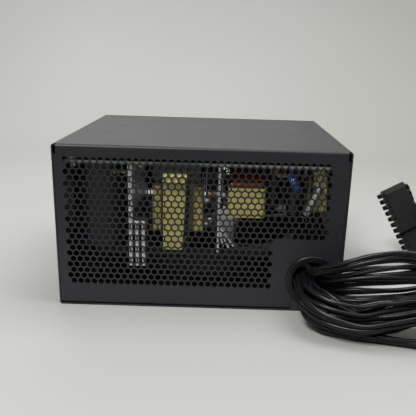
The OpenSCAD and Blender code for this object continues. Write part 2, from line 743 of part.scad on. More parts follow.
// An aluminium can capacitor with its crimped groove near the board
module can(r, h) {
    mirror([0, 0, 1]) rotate_extrude($fn = round_fn) {
        square([r - 0.5, h]);
        translate([0, 1]) square([r, 1.4]);
        translate([0, 3.4]) square([r, h - 4.1]);
        translate([r - 0.7, h - 0.7]) circle(0.7, $fn = 16);
    }
}

module bulk_capacitor() color(ferrite) on_board(-54.5, 22) can(15 * share, 45 * tall);

// Primary heatsink: an upright web, a step and three fins that reach down in front of the fan
sink_x = -37.7;
sink_step = 30;
fin_pitch = 3.35;
fin_t = 1.7;
fin_reach = 45.4;
device_drop = 14;
device_places = [46, 58];
module primary_heatsink() color(bright_metal) difference() {
    union() {
        hung(board_y0, 58 * deep) {
            translate([sink_x, -sink_step]) square([2, sink_step]);
            translate([sink_x, -sink_step - 1.4]) square([2 * fin_pitch + fin_t, 2]);
            for (k = [0:2]) translate([sink_x + k * fin_pitch, -fin_reach])
                square([fin_t, fin_reach - sink_step]);
        }
        hung(board_y0, fan_front - board_y0 - 1)
            for (k = [0:2]) translate([sink_x + k * fin_pitch, -54.3]) square([fin_t, 20]);
    }
    for (d = device_places) translate([(sink_x - 1) * wide, front + d * deep, board_z - device_drop * tall])
        rotate([0, 90, 0]) cylinder(r = 1.3, h = 5, $fn = round_fn);
}

// Power device in a flat package: moulded body, tab and three legs up to the board
module power_device(d, x, flip) {
    translate([x * wide, front + d * deep, board_z - device_drop * tall]) mirror([flip, 0, 0]) {
        translate([0.3, -5.2, -9.5]) cube([4.3, 10.4, 9.4]);
        translate([0.3, -5.2, -16.1]) cube([1.2, 10.4, 16.1]);
        for (k = [-1:1]) translate([2, k * 2.54 - 0.4, -0.2]) cube([0.8, 0.8, device_drop * tall + 0.2]);
    }
}
module device_screw(d, x, flip) {
    translate([x * wide, front + d * deep, board_z - device_drop * tall - 12.8]) mirror([flip, 0, 0])
        rotate([0, 90, 0]) translate([0, 0, 1.5]) difference() {
            cylinder(r = 2.6, h = 2, $fn = 24);
            translate([-3, -0.35, 1.2]) cube([6, 0.7, 2]);
        }
}

rectifiers_right = [41.5, 53];
rectifiers_left = [14, 28];
module primary_transistors() color(ferrite) for (d = device_places) power_device(d, sink_x, 1);
module output_rectifiers() color(ferrite) {
    for (d = rectifiers_right) power_device(d, plate_x + plate_t, 0);
    for (d = rectifiers_left) power_device(d, plate_x, 1);
}
module device_screws() color(bright_metal) {
    for (d = device_places) device_screw(d, sink_x, 1);
    for (d = rectifiers_right) device_screw(d, plate_x + plate_t, 0);
    for (d = rectifiers_left) device_screw(d, plate_x, 1);
}

// Main transformer: an upright core whose winding stands out as a lobe on both sides
core_x = -13.55;
core_w = 12.7;
core_front = 5;
core_d = 35;
core_top = 4.6;
core_bottom = 45;
core_yoke = 6.5;
coil_x = -12.65;
coil_w = 26.9;
coil_d = 25;
coil_lobe = 4.6;
module transformer_core() color(tape_yellow) on_board(core_x, core_front + core_d / 2)
    scale([wide, deep, tall]) rotate([90, 0, 90]) linear_extrude(core_w, center = true) difference() {
        translate([-core_d / 2, -core_bottom]) square([core_d, core_bottom - core_top]);
        for (s = [-1, 1]) translate([s * 9.4, -(core_top + core_bottom) / 2])
            square([6.8, core_bottom - core_top - 2 * core_yoke], center = true);
    }

module transformer_winding() color(tape_yellow) on_board(coil_x, core_front + core_d / 2)
    scale([wide, deep, tall]) translate([0, 0, -36]) linear_extrude(24) difference() {
        round_rect(coil_w, coil_d, 2);
        translate([core_x - coil_x, 0]) square([core_w + 0.6, 12.4], center = true);
        // The front and back are drawn in between the lobes
        for (s = [-1, 1]) translate([0.4, s * coil_d / 2])
            square([coil_w - 2 * coil_lobe - 1.5, 10], center = true);
    }

// Black feet of both transformers
module transformer_bobbins() color(black_plastic) {
    on_board(coil_x, core_front + core_d / 2) scale([wide, deep, tall]) {
        translate([-12, -core_d / 2 - 3.4, -4.4]) cube([24, core_d + 6.8, 4.4]);
        for (s = [-1, 1]) translate([-12, s * (core_d / 2 + 1.9) - 1.5, -7.6]) cube([24, 3, 7.6]);
    }
    on_board(61.7, 18) scale([wide, deep, tall]) translate([-5.5, -8, -2.2]) cube([11, 16, 2.2]);
}

module standby_transformer() color(tape_yellow) on_board(61.7, 18) scale([wide, deep, tall]) {
    translate([-4.2, -8, -23]) cube([8.4, 16, 20.7]);
    translate([-5.4, -5.5, -20]) cube([10.8, 11, 14.5]);
}

// Secondary heatsink: a plate with three fins spread from its lower half
plate_x = 8.5;
plate_t = 1.2;
module secondary_heatsink() color(bright_metal) hung(board_y0, 56 * deep) {
    translate([plate_x, -fin_reach]) square([plate_t, fin_reach]);
    for (fin = [[12, 11.5], [24, 13.5], [36, 13.5]])
        translate([plate_x + 0.9, -31]) rotate(fin[0]) translate([-0.45, -fin[1]]) square([0.9, fin[1]]);
}

// A wound ring whose axis is Z: a core with rounded turns round it
module wound_ring(r_in, r_out, h, turns, wire) {
    mid = (r_in + r_out) / 2;
    rotate_extrude($fn = round_fn) translate([mid, 0]) square([r_out - r_in, h], center = true);
    for (k = [0:turns - 1]) rotate(k * 360 / turns) translate([mid, 0, 0]) rotate([90, 0, 0])
        linear_extrude(wire, center = true) difference() {
            round_rect(r_out - r_in + 2 * wire, h + 2 * wire, wire);
            round_rect(r_out - r_in - 0.2, h - 0.2, 0.3);
        }
}

// Output inductor: a wound ring that stands on its edge, with a band of tape round it
ring_in = 6.2;
ring_out = 12.4;
ring_h = 15.8;
ring_wire = 1.4;
ring_drop = 16.5;
ring_x = 23.4;
ring_back = 21.4;
band_h = 15.6;
module inductor_coil() color(copper_red) on_board(ring_x, ring_back) {
    translate([0, 0, -ring_drop * tall]) rotate([0, 90, 0]) scale(share)
        wound_ring(ring_in, ring_out, ring_h, 18, ring_wire);
    for (s = [-1, 1]) translate([s * 5 * share, 0, -7 * tall]) cylinder(r = 0.6, h = 7 * tall, $fn = 16);
}
module inductor_tape() color(tape_yellow) on_board(ring_x, ring_back)
    scale(share) translate([0, 0, -27 * tall / share]) linear_extrude(band_h) {
        ring_size = [ring_h + 2 * ring_wire, 2 * (ring_out + ring_wire)];
        difference() {
            round_rect(ring_size[0] + 1.1, ring_size[1] + 1.1, 2.2);
            round_rect(ring_size[0] + 0.3, ring_size[1] + 0.3, 1.8);
        }
    }

// Output capacitors as [x, distance behind the cable end, radius, length]
output_cans = [[37.9, 24, 3.8, 25], [49, 17, 4, 27], [45, 34, 4.6, 25], [57, 33, 5, 25], [28, 48, 5, 20]];
module output_capacitors() color(ferrite)
    for (c = output_cans) on_board(c[0], c[1]) can(c[2] * share, c[3] * tall);

// Small bare can that leans on its leads
module leaning_capacitor() color(bright_metal) on_board(54.4, 5.4) {
    translate([0, 0, -24 * tall]) rotate([0, 20, 0]) {
        cylinder(r = 2.3 * share, h = 16 * tall, $fn = round_fn);
        for (s = [-1, 1]) translate([s * 1.1, 0, 15.5 * tall]) cylinder(r = 0.3, h = 9.7 * tall, $fn = 12);
    }
}

// Disc capacitor, tilted on its two leads
module disc_capacitor() color([0.08, 0.28, 0.60]) on_board(47.4, 7.2) {
    translate([0, 0, -8.4 * tall]) rotate([0, 60, 0]) translate([0, 0, -1.5])
        cylinder(r = 5.2 * share, h = 3, $fn = round_fn);
    for (s = [-1, 1]) translate([-2.6, s * 2.5 * share, -6.4 * tall])
        cylinder(r = 0.35, h = 6.4 * tall, $fn = 12);
}

module pfc_choke() color(copper_red) on_board(-54, 76)
    scale(share) translate([0, 0, -7.6]) wound_ring(7, 13, 12, 18, 1.4);
module filter_choke() color(copper_red) on_board(-57, 112)
    scale(share) translate([0, 0, -5.8]) wound_ring(4.5, 9, 9, 12, 1.2);
module line_capacitor() color([0.75, 0.62, 0.18]) on_board(-29, 111) scale([wide, deep, tall])
    translate([-13, -5, -15]) cube([26, 10, 15]);

module bridge_rectifier() color(ferrite) on_board(-29.5, 88) scale([wide, deep, tall]) {
    difference() {
        translate([-2.5, -12, -26]) cube([5, 24, 20]);
        translate([-3, 0, -16]) rotate([0, 90, 0]) cylinder(r = 1.7, h = 8, $fn = round_fn);
    }
    for (k = [0:3]) translate([-0.5, -9.5 + k * 6, -6.5]) cube([1, 1.2, 6.5]);
}

// Upright control board with three chips on its front
module control_board() on_board(42, 74) scale([wide, deep, tall]) {
    color(board_green) translate([-20, 0, -28]) cube([40, 1.2, 28]);
    color(ferrite) for (k = [-1:1]) translate([k * 12 - 4, -1.8, -20]) cube([8, 1.9, 10]);
}

// Sweeps a round cord along a list of points
function unit(v) = v / norm(v);
function heading(p, i) =
    i == 0 ? unit(p[1] - p[0])
    : i == len(p) - 1 ? unit(p[i] - p[i - 1])
    : unit(unit(p[i + 1] - p[i]) + unit(p[i] - p[i - 1]));
function cord_ring(p, i, r, sides, level) =
    let (t = heading(p, i), across = unit(cross(t, level)), up = cross(across, t))
    [for (k = [0:sides - 1]) p[i] + r * (cos(360 * k / sides) * across + sin(360 * k / sides) * up)];
module cord(points, r, sides, level = [0, 0, 1]) {
    last = len(points) - 1;
    polyhedron(
        points = [for (i = [0:last]) each cord_ring(points, i, r, sides, level)],
        faces = concat(
            [[for (k = [0:sides - 1]) sides - 1 - k]],
            [for (i = [0:last - 1], k = [0:sides - 1])
                each quad(i * sides + k, i * sides + (k + 1) % sides,
                    (i + 1) * sides + (k + 1) % sides, (i + 1) * sides + k)],
            [[for (k = [0:sides - 1]) last * sides + k]]),
        convexity = 8);
}

// Output wires inside: up from the bushing before the fan, back under the small parts and up to the board
lead_r = 1;
lead_y = (front + sheet_t + fan_front) / 2;
lead_back = front + 42 * deep;
module board_leads() color(black_plastic)
    for (x = [-3.5:3.5]) cord([
        [exit_x + x * 2.3 * wide, lead_y, exit_up - 3],
        [exit_x + x * 2.3 * wide, lead_y, fan_top + 3],
        [exit_x + x * 2.3 * wide, lead_y + 3, fan_top + 6],
        [exit_x + x * 2.3 * wide, lead_back - 8, fan_top + 12 * tall],
        [exit_x + x * 2.3 * wide, lead_back - 1.5, fan_top + 16 * tall],
        [exit_x + x * 2.3 * wide, lead_back, fan_top + 22 * tall],
        [exit_x + x * 2.3 * wide, lead_back, board_z]], lead_r, 8, [1, 0, 0]);

// A hank of turns lying one on the other, as the closed outline that they fill
module hank(x0, x1, y, z, fold, r, layers) {
    translate([0, y, z]) linear_extrude(2 * r * layers) {
        translate([x0, -fold - r]) square([x1 - x0, 2 * (fold + r)]);
        for (x = [x0, x1]) translate([x, 0]) circle(fold + r, $fn = round_fn);
    }
}

module main_harness() color(black_plastic) cord(main_route, main_r, 10);
module cpu_harness() color(black_plastic) {
    cord(cpu_route, cpu_r, 8);
    cord(cpu_tail, cpu_r, 8);
}
module graphics_harness() color(black_plastic) {
    cord(graphics_route, graphics_r, 8);
    cord(graphics_tail, graphics_r, 8);
}
module sata_harness() color(black_plastic) {
    cord(sata_route, sata_r, 8);
    cord(sata_tail, sata_r, 8);
}
module drive_harness() color(black_plastic) {
    cord(drive_route, drive_r, 8);
    cord(drive_tail, drive_r, 8);
}
module cpu_hank() color(black_plastic) hank(168.6, 261.6, -78, hank_z, 15.5, cpu_r, 2);
module graphics_hank() color(black_plastic) hank(180.6, 273.6, -38, hank_z, 15.5, graphics_r, 2);
module sata_hank() color(black_plastic) hank(165, 245, -132.5, hank_z, 12.5, sata_r, 2);
module drive_hank() color(black_plastic)
    hank(167.5, 242.5, -132.5, hank_z + 4 * sata_r + 0.3, 11.5, drive_r, 2);

// Flat ties round the hanks
module tie(x, y, width, height) {
    translate([x, y, 0]) difference() {
        translate([-1.8, -width / 2 - tie_t, 0]) cube([3.6, width + 2 * tie_t, height + 2 * tie_t]);
        translate([-5, -width / 2, tie_t]) cube([10, width, height]);
    }
    translate([x - 2.6, y + width / 4, height + 2 * tie_t - 0.5]) cube([5.2, 4.2, 2.8]);
}
module cable_ties() color(black_plastic) {
    tie(215, -78, 37.6, 4 * cpu_r + 0.4);
    tie(227, -38, 37.6, 4 * graphics_r + 0.4);
    tie(205, -132.5, 30.4, 4 * sata_r + 4 * drive_r + 0.9);
}

// Power connector: rows of separate cells on a solid block; the cells face +Z and end at z = 0
cell_depth = 6.2;
plug_length = 18;
plug_wall = 0.6;
latch_gap = 1.3;
latch_t = 1.2;
latch_w = 8;
latch_pivot = -10.5;
function plug_thick(rows) = rows * pin_pitch + 2 * plug_wall;
module cell_block(columns, rows) {
    translate([0, 0, -plug_length]) linear_extrude(plug_length - cell_depth)
        square([columns * pin_pitch + 2 * plug_wall, plug_thick(rows)], center = true);
    translate([0, 0, -cell_depth - eps]) linear_extrude(cell_depth + eps)
        for (i = [0:columns - 1], j = [0:rows - 1])
            translate([(i - (columns - 1) / 2) * pin_pitch, (j - (rows - 1) / 2) * pin_pitch]) difference() {
                square(pin_pitch - 0.8, center = true);
                circle(1.15, $fn = 24);
            }
    // Rib that the latch rocks on
    translate([-latch_w / 2, plug_thick(rows) / 2 - eps, latch_pivot - 0.8])
        cube([latch_w, latch_gap - 0.3, 1.6]);
}
module plug_latch(rows) {
    y = plug_thick(rows) / 2 + latch_gap;
    translate([-latch_w / 2, y, -plug_length + 1]) cube([latch_w, latch_t, plug_length - 2]);
    translate([-latch_w / 2, y, -plug_length + 1]) cube([latch_w, latch_t + 0.7, 3]);
    translate([-latch_w / 2, y - 0.9, -3]) cube([latch_w, 1, 1.8]);
}

module at_main_plug() translate(main_plug_at) rotate([143.4, 57.6, -31.9]) children();
module at_cpu_plug() translate(cpu_plug_at) rotate([90, 0, -90]) children();
module at_graphics_plug() translate(graphics_plug_at) rotate([90, 0, -90]) children();

module main_plug() color(black_plastic) at_main_plug() cell_block(12, 2);
module cpu_plug() color(black_plastic) at_cpu_plug() cell_block(4, 2);
module graphics_plug() color(black_plastic) at_graphics_plug() cell_block(4, 2);
module main_latch() color(black_plastic) at_main_plug() plug_latch(2);
module cpu_latch() color(black_plastic) at_cpu_plug() plug_latch(2);
module graphics_latch() color(black_plastic) at_graphics_plug() plug_latch(2);

// Drive power connector with an L-shaped slot and a thicker back
module sata_plug() color(black_plastic) translate([130, -145, 3.6]) rotate([90, 0, -90]) difference() {
    union() {
        translate([0, 0, -16]) linear_extrude(7) round_rect(23.6, 6.6, 1);
        translate([0, 0, -9.5]) linear_extrude(9.5) round_rect(22.4, 5, 0.8);
    }
    translate([0, 0, -7]) linear_extrude(8) {
        translate([-9.8, -0.9]) square([19, 1.6]);
        translate([7.6, -0.9]) square([1.6, 2.6]);
    }
}

// Peripheral connector: four round contacts in a body with two cut corners
module drive_plug() color(black_plastic) translate([300, -124, 4.4]) rotate([90, 0, 90]) difference() {
    union() {
        translate([0, 0, -22]) linear_extrude(22) polygon([[-10.4, -4.1], [10.4, -4.1], [10.4, 2], [8.3, 4.1],
            [-8.3, 4.1], [-10.4, 2]]);
        for (s = [-1, 1]) translate([s * 10.4 - 1, -2.6, -19]) cube([2, 4.6, 7]);
    }
    for (i = [-1.5:1.5]) translate([i * 5.08, 0, -14]) cylinder(r = 1.7, h = 15, $fn = 24);
}

tray();
cable_end_wall();
mains_end_wall();
fan_cover();
cover_screws();
cable_bushing();
fan_guard();
fan_screws();
fan_frame();
fan_bearing();
fan_stator();
fan_rotor();
main_board();
board_standoffs();
board_screws();
insulation_sheet();
ac_inlet();
inlet_pins();
inlet_screws();
switch_housing();
switch_rocker();
bulk_capacitor();
primary_heatsink();
primary_transistors();
transformer_core();
transformer_winding();
transformer_bobbins();
secondary_heatsink();
output_rectifiers();
device_screws();
inductor_coil();
inductor_tape();
output_capacitors();
leaning_capacitor();
disc_capacitor();
standby_transformer();
pfc_choke();
filter_choke();
line_capacitor();
bridge_rectifier();
control_board();
board_leads();
main_harness();
cpu_harness();
graphics_harness();
sata_harness();
drive_harness();
cpu_hank();
graphics_hank();
sata_hank();
drive_hank();
cable_ties();
main_plug();
main_latch();
cpu_plug();
cpu_latch();
graphics_plug();
graphics_latch();
sata_plug();
drive_plug();
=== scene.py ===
# %% [markdown]
# # Dressing a computer power supply
#
# The solids of the power supply come from the CAD source, at their real size and in
# their real places. This script gives them their finishes, lays the black output
# wires strand by strand, adds the small things on the circuit board, and sets up a
# pale studio. Every length ends up in metres, because the frame is. Lists of places
# are easier to read in millimetres, and a helper turns them into metres.

# %% Load the frame
import math

import bpy
import numpy as np
from mathutils import Euler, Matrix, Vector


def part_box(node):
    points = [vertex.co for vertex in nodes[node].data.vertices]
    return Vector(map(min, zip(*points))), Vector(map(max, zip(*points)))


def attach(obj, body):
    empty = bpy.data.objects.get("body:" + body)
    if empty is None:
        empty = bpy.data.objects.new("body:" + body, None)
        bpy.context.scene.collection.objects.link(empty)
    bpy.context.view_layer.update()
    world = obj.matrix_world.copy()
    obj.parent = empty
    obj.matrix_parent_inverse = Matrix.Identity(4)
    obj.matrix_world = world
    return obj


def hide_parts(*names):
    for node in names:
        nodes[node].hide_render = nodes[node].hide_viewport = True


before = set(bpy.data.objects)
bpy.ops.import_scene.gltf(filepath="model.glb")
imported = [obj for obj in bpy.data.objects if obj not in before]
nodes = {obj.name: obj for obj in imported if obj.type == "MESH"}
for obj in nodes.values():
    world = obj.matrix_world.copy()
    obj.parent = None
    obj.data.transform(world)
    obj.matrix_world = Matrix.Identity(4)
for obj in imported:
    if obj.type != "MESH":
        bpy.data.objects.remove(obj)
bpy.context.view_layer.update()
MM = 0.001

# %% [markdown]
# ## Where the board is
#
# Leads and solder end at the circuit board, and its finish changes at its front edge.
# Its box is read from the frame once, so that all of them follow it.

# %% Read the board's box
BOARD_LOW, BOARD_HIGH = (np.array(corner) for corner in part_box("main_board"))
print("board from", np.round(BOARD_LOW / MM, 1), "to", np.round(BOARD_HIGH / MM, 1), "mm")

# %% [markdown]
# ## The camera
#
# A power supply is usually shown from its cable end, a little from above. A lens of
# about 52 mm on a full-frame sensor keeps its sides nearly straight. The shift moves
# the frame without turning the camera, so upright edges don't lean more than they
# should. The camera comes first because the loose cables are measured against what
# it sees.

# %% Set the camera
CAMERA_TURN = (71.36, -1.587, 0.734)
camera_data = bpy.data.cameras.new("camera")
camera_data.sensor_width = 36.0
camera_data.lens = 52.17
camera_data.shift_x = -0.0259
camera_data.shift_y = 0.1085
camera_data.clip_start = 0.01
camera = bpy.data.objects.new("camera", camera_data)
camera.location = (0.01076, -0.36837, 0.13206)
camera.rotation_euler = [math.radians(a) for a in CAMERA_TURN]
bpy.context.scene.collection.objects.link(camera)
bpy.context.scene.camera = camera
print("camera looks down by", round(90 - CAMERA_TURN[0], 1), "degrees")

# %% [markdown]
# ## Meshes from arrays
#
# A surface here is a grid of points: one parameter runs along it and one across it,
# and both are worked out as whole numpy arrays. The faces of such a grid follow a
# rule, so one helper writes them for every shape. Most pieces here are stacks of
# rings, and a second one closes their ends. The others put points and faces into a
# mesh with its finish, and let it ride on a body of the model.


# %% Define the grid helpers
def grid_faces(rows, columns, start=0, round_rows=False, round_columns=False):
    """Quads of a grid: the corners are (i, j), (i, j+1), (i+1, j+1), (i+1, j), and a
    round direction joins its last line to its first."""
    i = np.arange(rows if round_rows else rows - 1)[:, None]
    j = np.arange(columns if round_columns else columns - 1)[None, :]
    next_i, next_j = (i + 1) % rows, (j + 1) % columns
    corners = [i * columns + j, i * columns + next_j, next_i * columns + next_j, next_i * columns + j]
    return start + np.stack(np.broadcast_arrays(*corners), axis=-1).reshape(-1, 4)


def stack_faces(copies, levels, sides):
    """Faces of copies of a stack of rings: quads between the rings, and one flat face
    over each end. They point outwards where the rings run anticlockwise as seen from
    the last one."""
    faces = []
    for first in range(0, copies * levels * sides, levels * sides):
        last = first + levels * sides
        faces.extend(grid_faces(levels, sides, first, round_columns=True).tolist())
        faces.append(list(range(first + sides - 1, first - 1, -1)))
        faces.append(list(range(last - sides, last)))
    return faces


def add_mesh(name, points, faces, finish, smooth=True):
    """Makes one object at the origin from points (n, 3), a list of faces and a finish."""
    mesh = bpy.data.meshes.new(name)
    mesh.from_pydata(np.asarray(points, float).reshape(-1, 3).tolist(), [], faces)
    mesh.polygons.foreach_set("use_smooth", np.full(len(mesh.polygons), smooth))
    mesh.update()
    mesh.materials.append(finish)
    piece = bpy.data.objects.new(name, mesh)
    bpy.context.scene.collection.objects.link(piece)
    return piece


def new_piece(name, points, faces, slot, finish, body="chassis", smooth=True):
    """Adds a piece of the object with its finish, on a body. The argument slot is not used."""
    piece = add_mesh(name, points, faces, finish, smooth)
    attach(piece, body)
    return piece


# %% [markdown]
# ## Tubes along lines
#
# Wires, leads and pins are tubes that follow a line. At each point of the line a
# ring stands square to it: one axis is level, across the line, and the other is
# square to both. All the strands of a bundle are swept at once, because a strand is
# one more axis of the same array.


# %% Define the sweep of many strands
def unit(vectors):
    """Vectors divided by their lengths."""
    return vectors / np.maximum(np.linalg.norm(vectors, axis=-1, keepdims=True), 1e-12)


def line_axes(lines):
    """Level axis and upper axis at each point: heading is the difference of the
    neighbours, across = heading x Z, and up = across x heading."""
    heading = unit(np.gradient(lines, axis=-2))
    across = unit(np.cross(heading, [0.0, 0.0, 1.0]))
    return across, np.cross(across, heading)


def sweep_tubes(lines, radius, sides=10):
    """Points and faces of round tubes with closed ends along lines (strands, steps, 3).
    A ring is centre + radius (cos a across + sin a up). It runs clockwise as seen from
    ahead, so each face of the stack is turned over."""
    strands, steps, _ = lines.shape
    across, up = line_axes(lines)
    turn = np.linspace(0, 2 * np.pi, sides, endpoint=False)
    ring = np.cos(turn)[:, None] * across[:, :, None] + np.sin(turn)[:, None] * up[:, :, None]
    points = lines[:, :, None] + radius * ring
    return points.reshape(-1, 3), [face[::-1] for face in stack_faces(strands, steps, sides)]


# %% [markdown]
# ## Turned shapes
#
# Solder cones, resistor bodies, contact sockets and drops of glue are all shapes of
# revolution. A profile of radii and heights is carried round an axis, and the same
# call sets out every copy, each with its own place and turn.


# %% Define turned shapes
def revolved(profile, sides):
    """Rings of a profile (radius, height) round Z: (r cos a, r sin a, h)."""
    a = np.linspace(0, 2 * np.pi, sides, endpoint=False)
    r, h = profile[:, :1], profile[:, 1:]
    return np.stack([r * np.cos(a), r * np.sin(a), h + 0 * a], axis=-1).reshape(-1, 3)


def turned_shapes(profile, places, turns=np.eye(3), scales=(1.0, 1.0, 1.0), sides=12):
    """Points and faces of copies of a revolved profile, each at place + turn (point
    scale), with one turn and scale for all or one for each. The profile runs up on the
    outside, so its faces point outwards."""
    count = len(places)
    shape = revolved(np.asarray(profile, float), sides) * np.broadcast_to(scales, (count, 3))[:, None]
    points = np.einsum("kij,knj->kni", np.broadcast_to(turns, (count, 3, 3)), shape) + places[:, None]
    return points.reshape(-1, 3), stack_faces(count, len(profile), sides)


# %% [markdown]
# ## Routes of the cables
#
# A cable's route is a short list of given points: out of the bushing, down to the
# table and along it. A Catmull-Rom curve joins them, because it goes through every
# point and needs no handles. The length that isn't on view is folded into a hank of
# two layers under a tie, the way such cables are packed.


# %% Define routes and hanks
def mm(points):
    """A list of points in millimetres as an array in metres."""
    return np.asarray(points, float) * MM


def distances(line):
    """How far along the line each of its points lies."""
    return np.concatenate([[0], np.cumsum(np.linalg.norm(np.diff(line, axis=0), axis=1))])


def smooth_route(points, spacing=2.4 * MM, samples=16):
    """Catmull-Rom curve through the points, then resampled at even steps. Between p1
    and p2 it is half of 2 p1 + (p2-p0) t + (2p0-5p1+4p2-p3) t^2 + (3p1-p0-3p2+p3) t^3."""
    p = np.asarray(points, float)
    p = np.vstack([2 * p[0] - p[1], p, 2 * p[-1] - p[-2]])
    a, b, c, d = p[:-3, None], p[1:-2, None], p[2:-1, None], p[3:, None]
    t = np.linspace(0, 1, samples, endpoint=False)[None, :, None]
    square, cube = 2 * a - 5 * b + 4 * c - d, 3 * b - a - 3 * c + d
    fine = 0.5 * (2 * b + (c - a) * t + square * t**2 + cube * t**3)
    fine = np.vstack([fine.reshape(-1, 3), p[-2]])
    along = distances(fine)
    even = np.linspace(0, along[-1], max(int(along[-1] / spacing), 2))
    return np.stack([np.interp(even, along, fine[:, k]) for k in range(3)], axis=1)


def half_loop(centre, fold, start, z0, z1, count=9):
    """Half a turn round centre from the angle start, while the height goes from z0 to
    z1: centre + (|fold| cos a, fold sin a), with a from start to start + 180 degrees."""
    share = np.linspace(0, 1, count)[1:-1]
    a = math.radians(start) + np.pi * share
    rise = z0 + (z1 - z0) * (1 - np.cos(np.pi * share)) / 2
    return np.stack([centre[0] + abs(fold) * np.cos(a), centre[1] + fold * np.sin(a), rise], axis=1)


def hank_runs(x0, x1, y, fold, low, high, layers):
    """The points of a hank of two layers: straight runs at y - fold and y + fold joined
    by half loops. layers gives the layer of each run in turn, 0 for low and 1 for high."""
    z = [low, high]
    middle = np.linspace(x0, x1, 6)
    points = []
    for k, layer in enumerate(layers):
        on_front = k % 2 == 0
        run_x = middle if on_front else middle[::-1]
        run_y = y - fold if on_front else y + fold
        points += [[x, run_y, z[layer]] for x in run_x]
        if k + 1 < len(layers):
            centre = (x1 if on_front else x0, y)
            points += half_loop(centre, fold, -90 if on_front else 90, z[layer], z[layers[k + 1]]).tolist()
    return points


# %% [markdown]
# ## Loose strands in one harness
#
# A harness isn't one thick tube. It is a bunch of separate wires that lie close where
# something holds them, and drift apart and cross where nothing does. Each wire
# keeps a place in the bunch, spread evenly over a disc by the golden angle. Slow
# waves with their own phase move it from that place, and the loose share sets how
# far. A wire that would sink into the table is lifted onto it.

# %% Define the strands of a harness
WIRE_R = 1.08 * MM
WIRE_LOW = WIRE_R + 0.05 * MM
GOLDEN = math.pi * (3 - math.sqrt(5))
TWIST = 8.8
# The length of each wave in metres and its share, and how much a wire may vary it.
WAVES = ((0.17, 0.55), (0.095, 0.3), (0.045, 0.1))
PACES = (0.8, 1.25)
LOOSE_SPREAD = 0.6
WAVE_SHARE = 0.42


def strand_lines(route, count, bundle_r, loose, reach, seed):
    """Centre lines (count, steps, 3) of the wires of a harness. A wire's place is
    (r cos a, r sin a) with r = R sqrt((k + 1/2) / count), a = k golden angle + a slow
    turn of at most TWIST radians per metre. Where loose is 1 the bunch is wider by
    LOOSE_SPREAD and waves of 45 to 170 mm move each wire, at most as far as reach."""
    chance = np.random.default_rng(seed)
    across, up = line_axes(route)
    along = distances(route)
    k = np.arange(count)[:, None]
    held_r = bundle_r - WIRE_R
    size = held_r * np.sqrt((k + 0.5) / count)
    angle = k * GOLDEN + chance.uniform(-TWIST, TWIST) * along[None]
    offset = np.stack([size * np.cos(angle), size * np.sin(angle)], axis=-1)
    waves = np.zeros_like(offset)
    for wavelength, share in WAVES:
        phase = chance.uniform(0, 2 * np.pi, (count, 1, 2))
        pace = chance.uniform(*PACES, (count, 1, 2))
        waves += share * np.sin(2 * np.pi * along[None, :, None] * pace / wavelength + phase)
    loose = loose[None, :, None]
    offset = offset * (1 + LOOSE_SPREAD * loose) + waves * loose * reach * WAVE_SHARE
    far = np.linalg.norm(offset, axis=-1, keepdims=True)
    limit = held_r + (reach - held_r) * loose
    offset = offset * np.minimum(1.0, limit / np.maximum(far, 1e-9))
    lines = route[None] + offset[..., :1] * across[None] + offset[..., 1:] * up[None]
    lines[..., 2] = np.maximum(lines[..., 2], WIRE_LOW)
    return lines


def eased(along, start, end):
    """Rises smoothly from 0 at start to 1 at end: s^2 (3 - 2 s)."""
    s = np.clip((along - start) / (end - start), 0, 1)
    return s * s * (3 - 2 * s)


# %% [markdown]
# ## Wires into the connector
#
# At a connector each wire has a cell of its own. The bunch fans out over the last
# centimetres: a wire leaves in the bunch's direction and arrives square to the
# connector's back. A Hermite curve does just that, with a place and a heading at
# both ends. Sorting wires and cells by the same two axes keeps them from crossing.


# %% Define the fan into a connector
def turned(angles):
    """The rotation matrix for angles in degrees about X, then Y, then Z."""
    return np.array(Euler([math.radians(a) for a in angles], "XYZ").to_matrix())


def cell_places(columns, rows, pitch_x, pitch_y):
    """Centres of the cells of a connector, in its own plane, row after row."""
    x = (np.arange(columns) - (columns - 1) / 2) * pitch_x
    y = (np.arange(rows) - (rows - 1) / 2) * pitch_y
    return np.stack(np.meshgrid(x, y), axis=-1).reshape(-1, 2)


def fan_lines(strands, place, turn, cells, back, steps=14):
    """Hermite lines from the strands' ends to the backs of the cells: h0 p0 + h1 m0 +
    h2 p1 + h3 m1, with the cubic weights of t and headings as long as the gap."""
    start = strands[:, -1]
    heading = unit(strands[:, -1] - strands[:, -3])
    x_axis, y_axis, z_axis = turn.T
    ends = place + cells[:, :1] * x_axis + cells[:, 1:] * y_axis + back * z_axis
    rows = len(np.unique(np.round(cells[:, 1], 6)))
    columns = len(cells) // rows
    pick = np.argsort(start @ x_axis).reshape(columns, rows)
    pick = np.take_along_axis(pick, np.argsort((start @ y_axis)[pick], axis=1), axis=1)
    order = np.lexsort((cells[:, 1], cells[:, 0]))
    start, heading, ends = start[pick.ravel()], heading[pick.ravel()], ends[order]
    gap = np.linalg.norm(ends - start, axis=1)[:, None, None]
    t = np.linspace(0, 1, steps)[None, :, None]
    h0, h1 = 2 * t**3 - 3 * t**2 + 1, t**3 - 2 * t**2 + t
    h2, h3 = -2 * t**3 + 3 * t**2, t**3 - t**2
    lines = h0 * start[:, None] + h1 * gap * heading[:, None] + h2 * ends[:, None] + h3 * gap * z_axis
    lines[..., 2] = np.maximum(lines[..., 2], WIRE_LOW)
    return lines


# %% [markdown]
# ## The five harnesses
#
# The cables that leave this unit are the 24-wire lead of the main board, one lead
# each for the processor and the graphics card with 8 wires, one for disks with 5
# and one for older drives with 4. Each is written down once as its route, its hank
# and its connector, and one function makes all five.


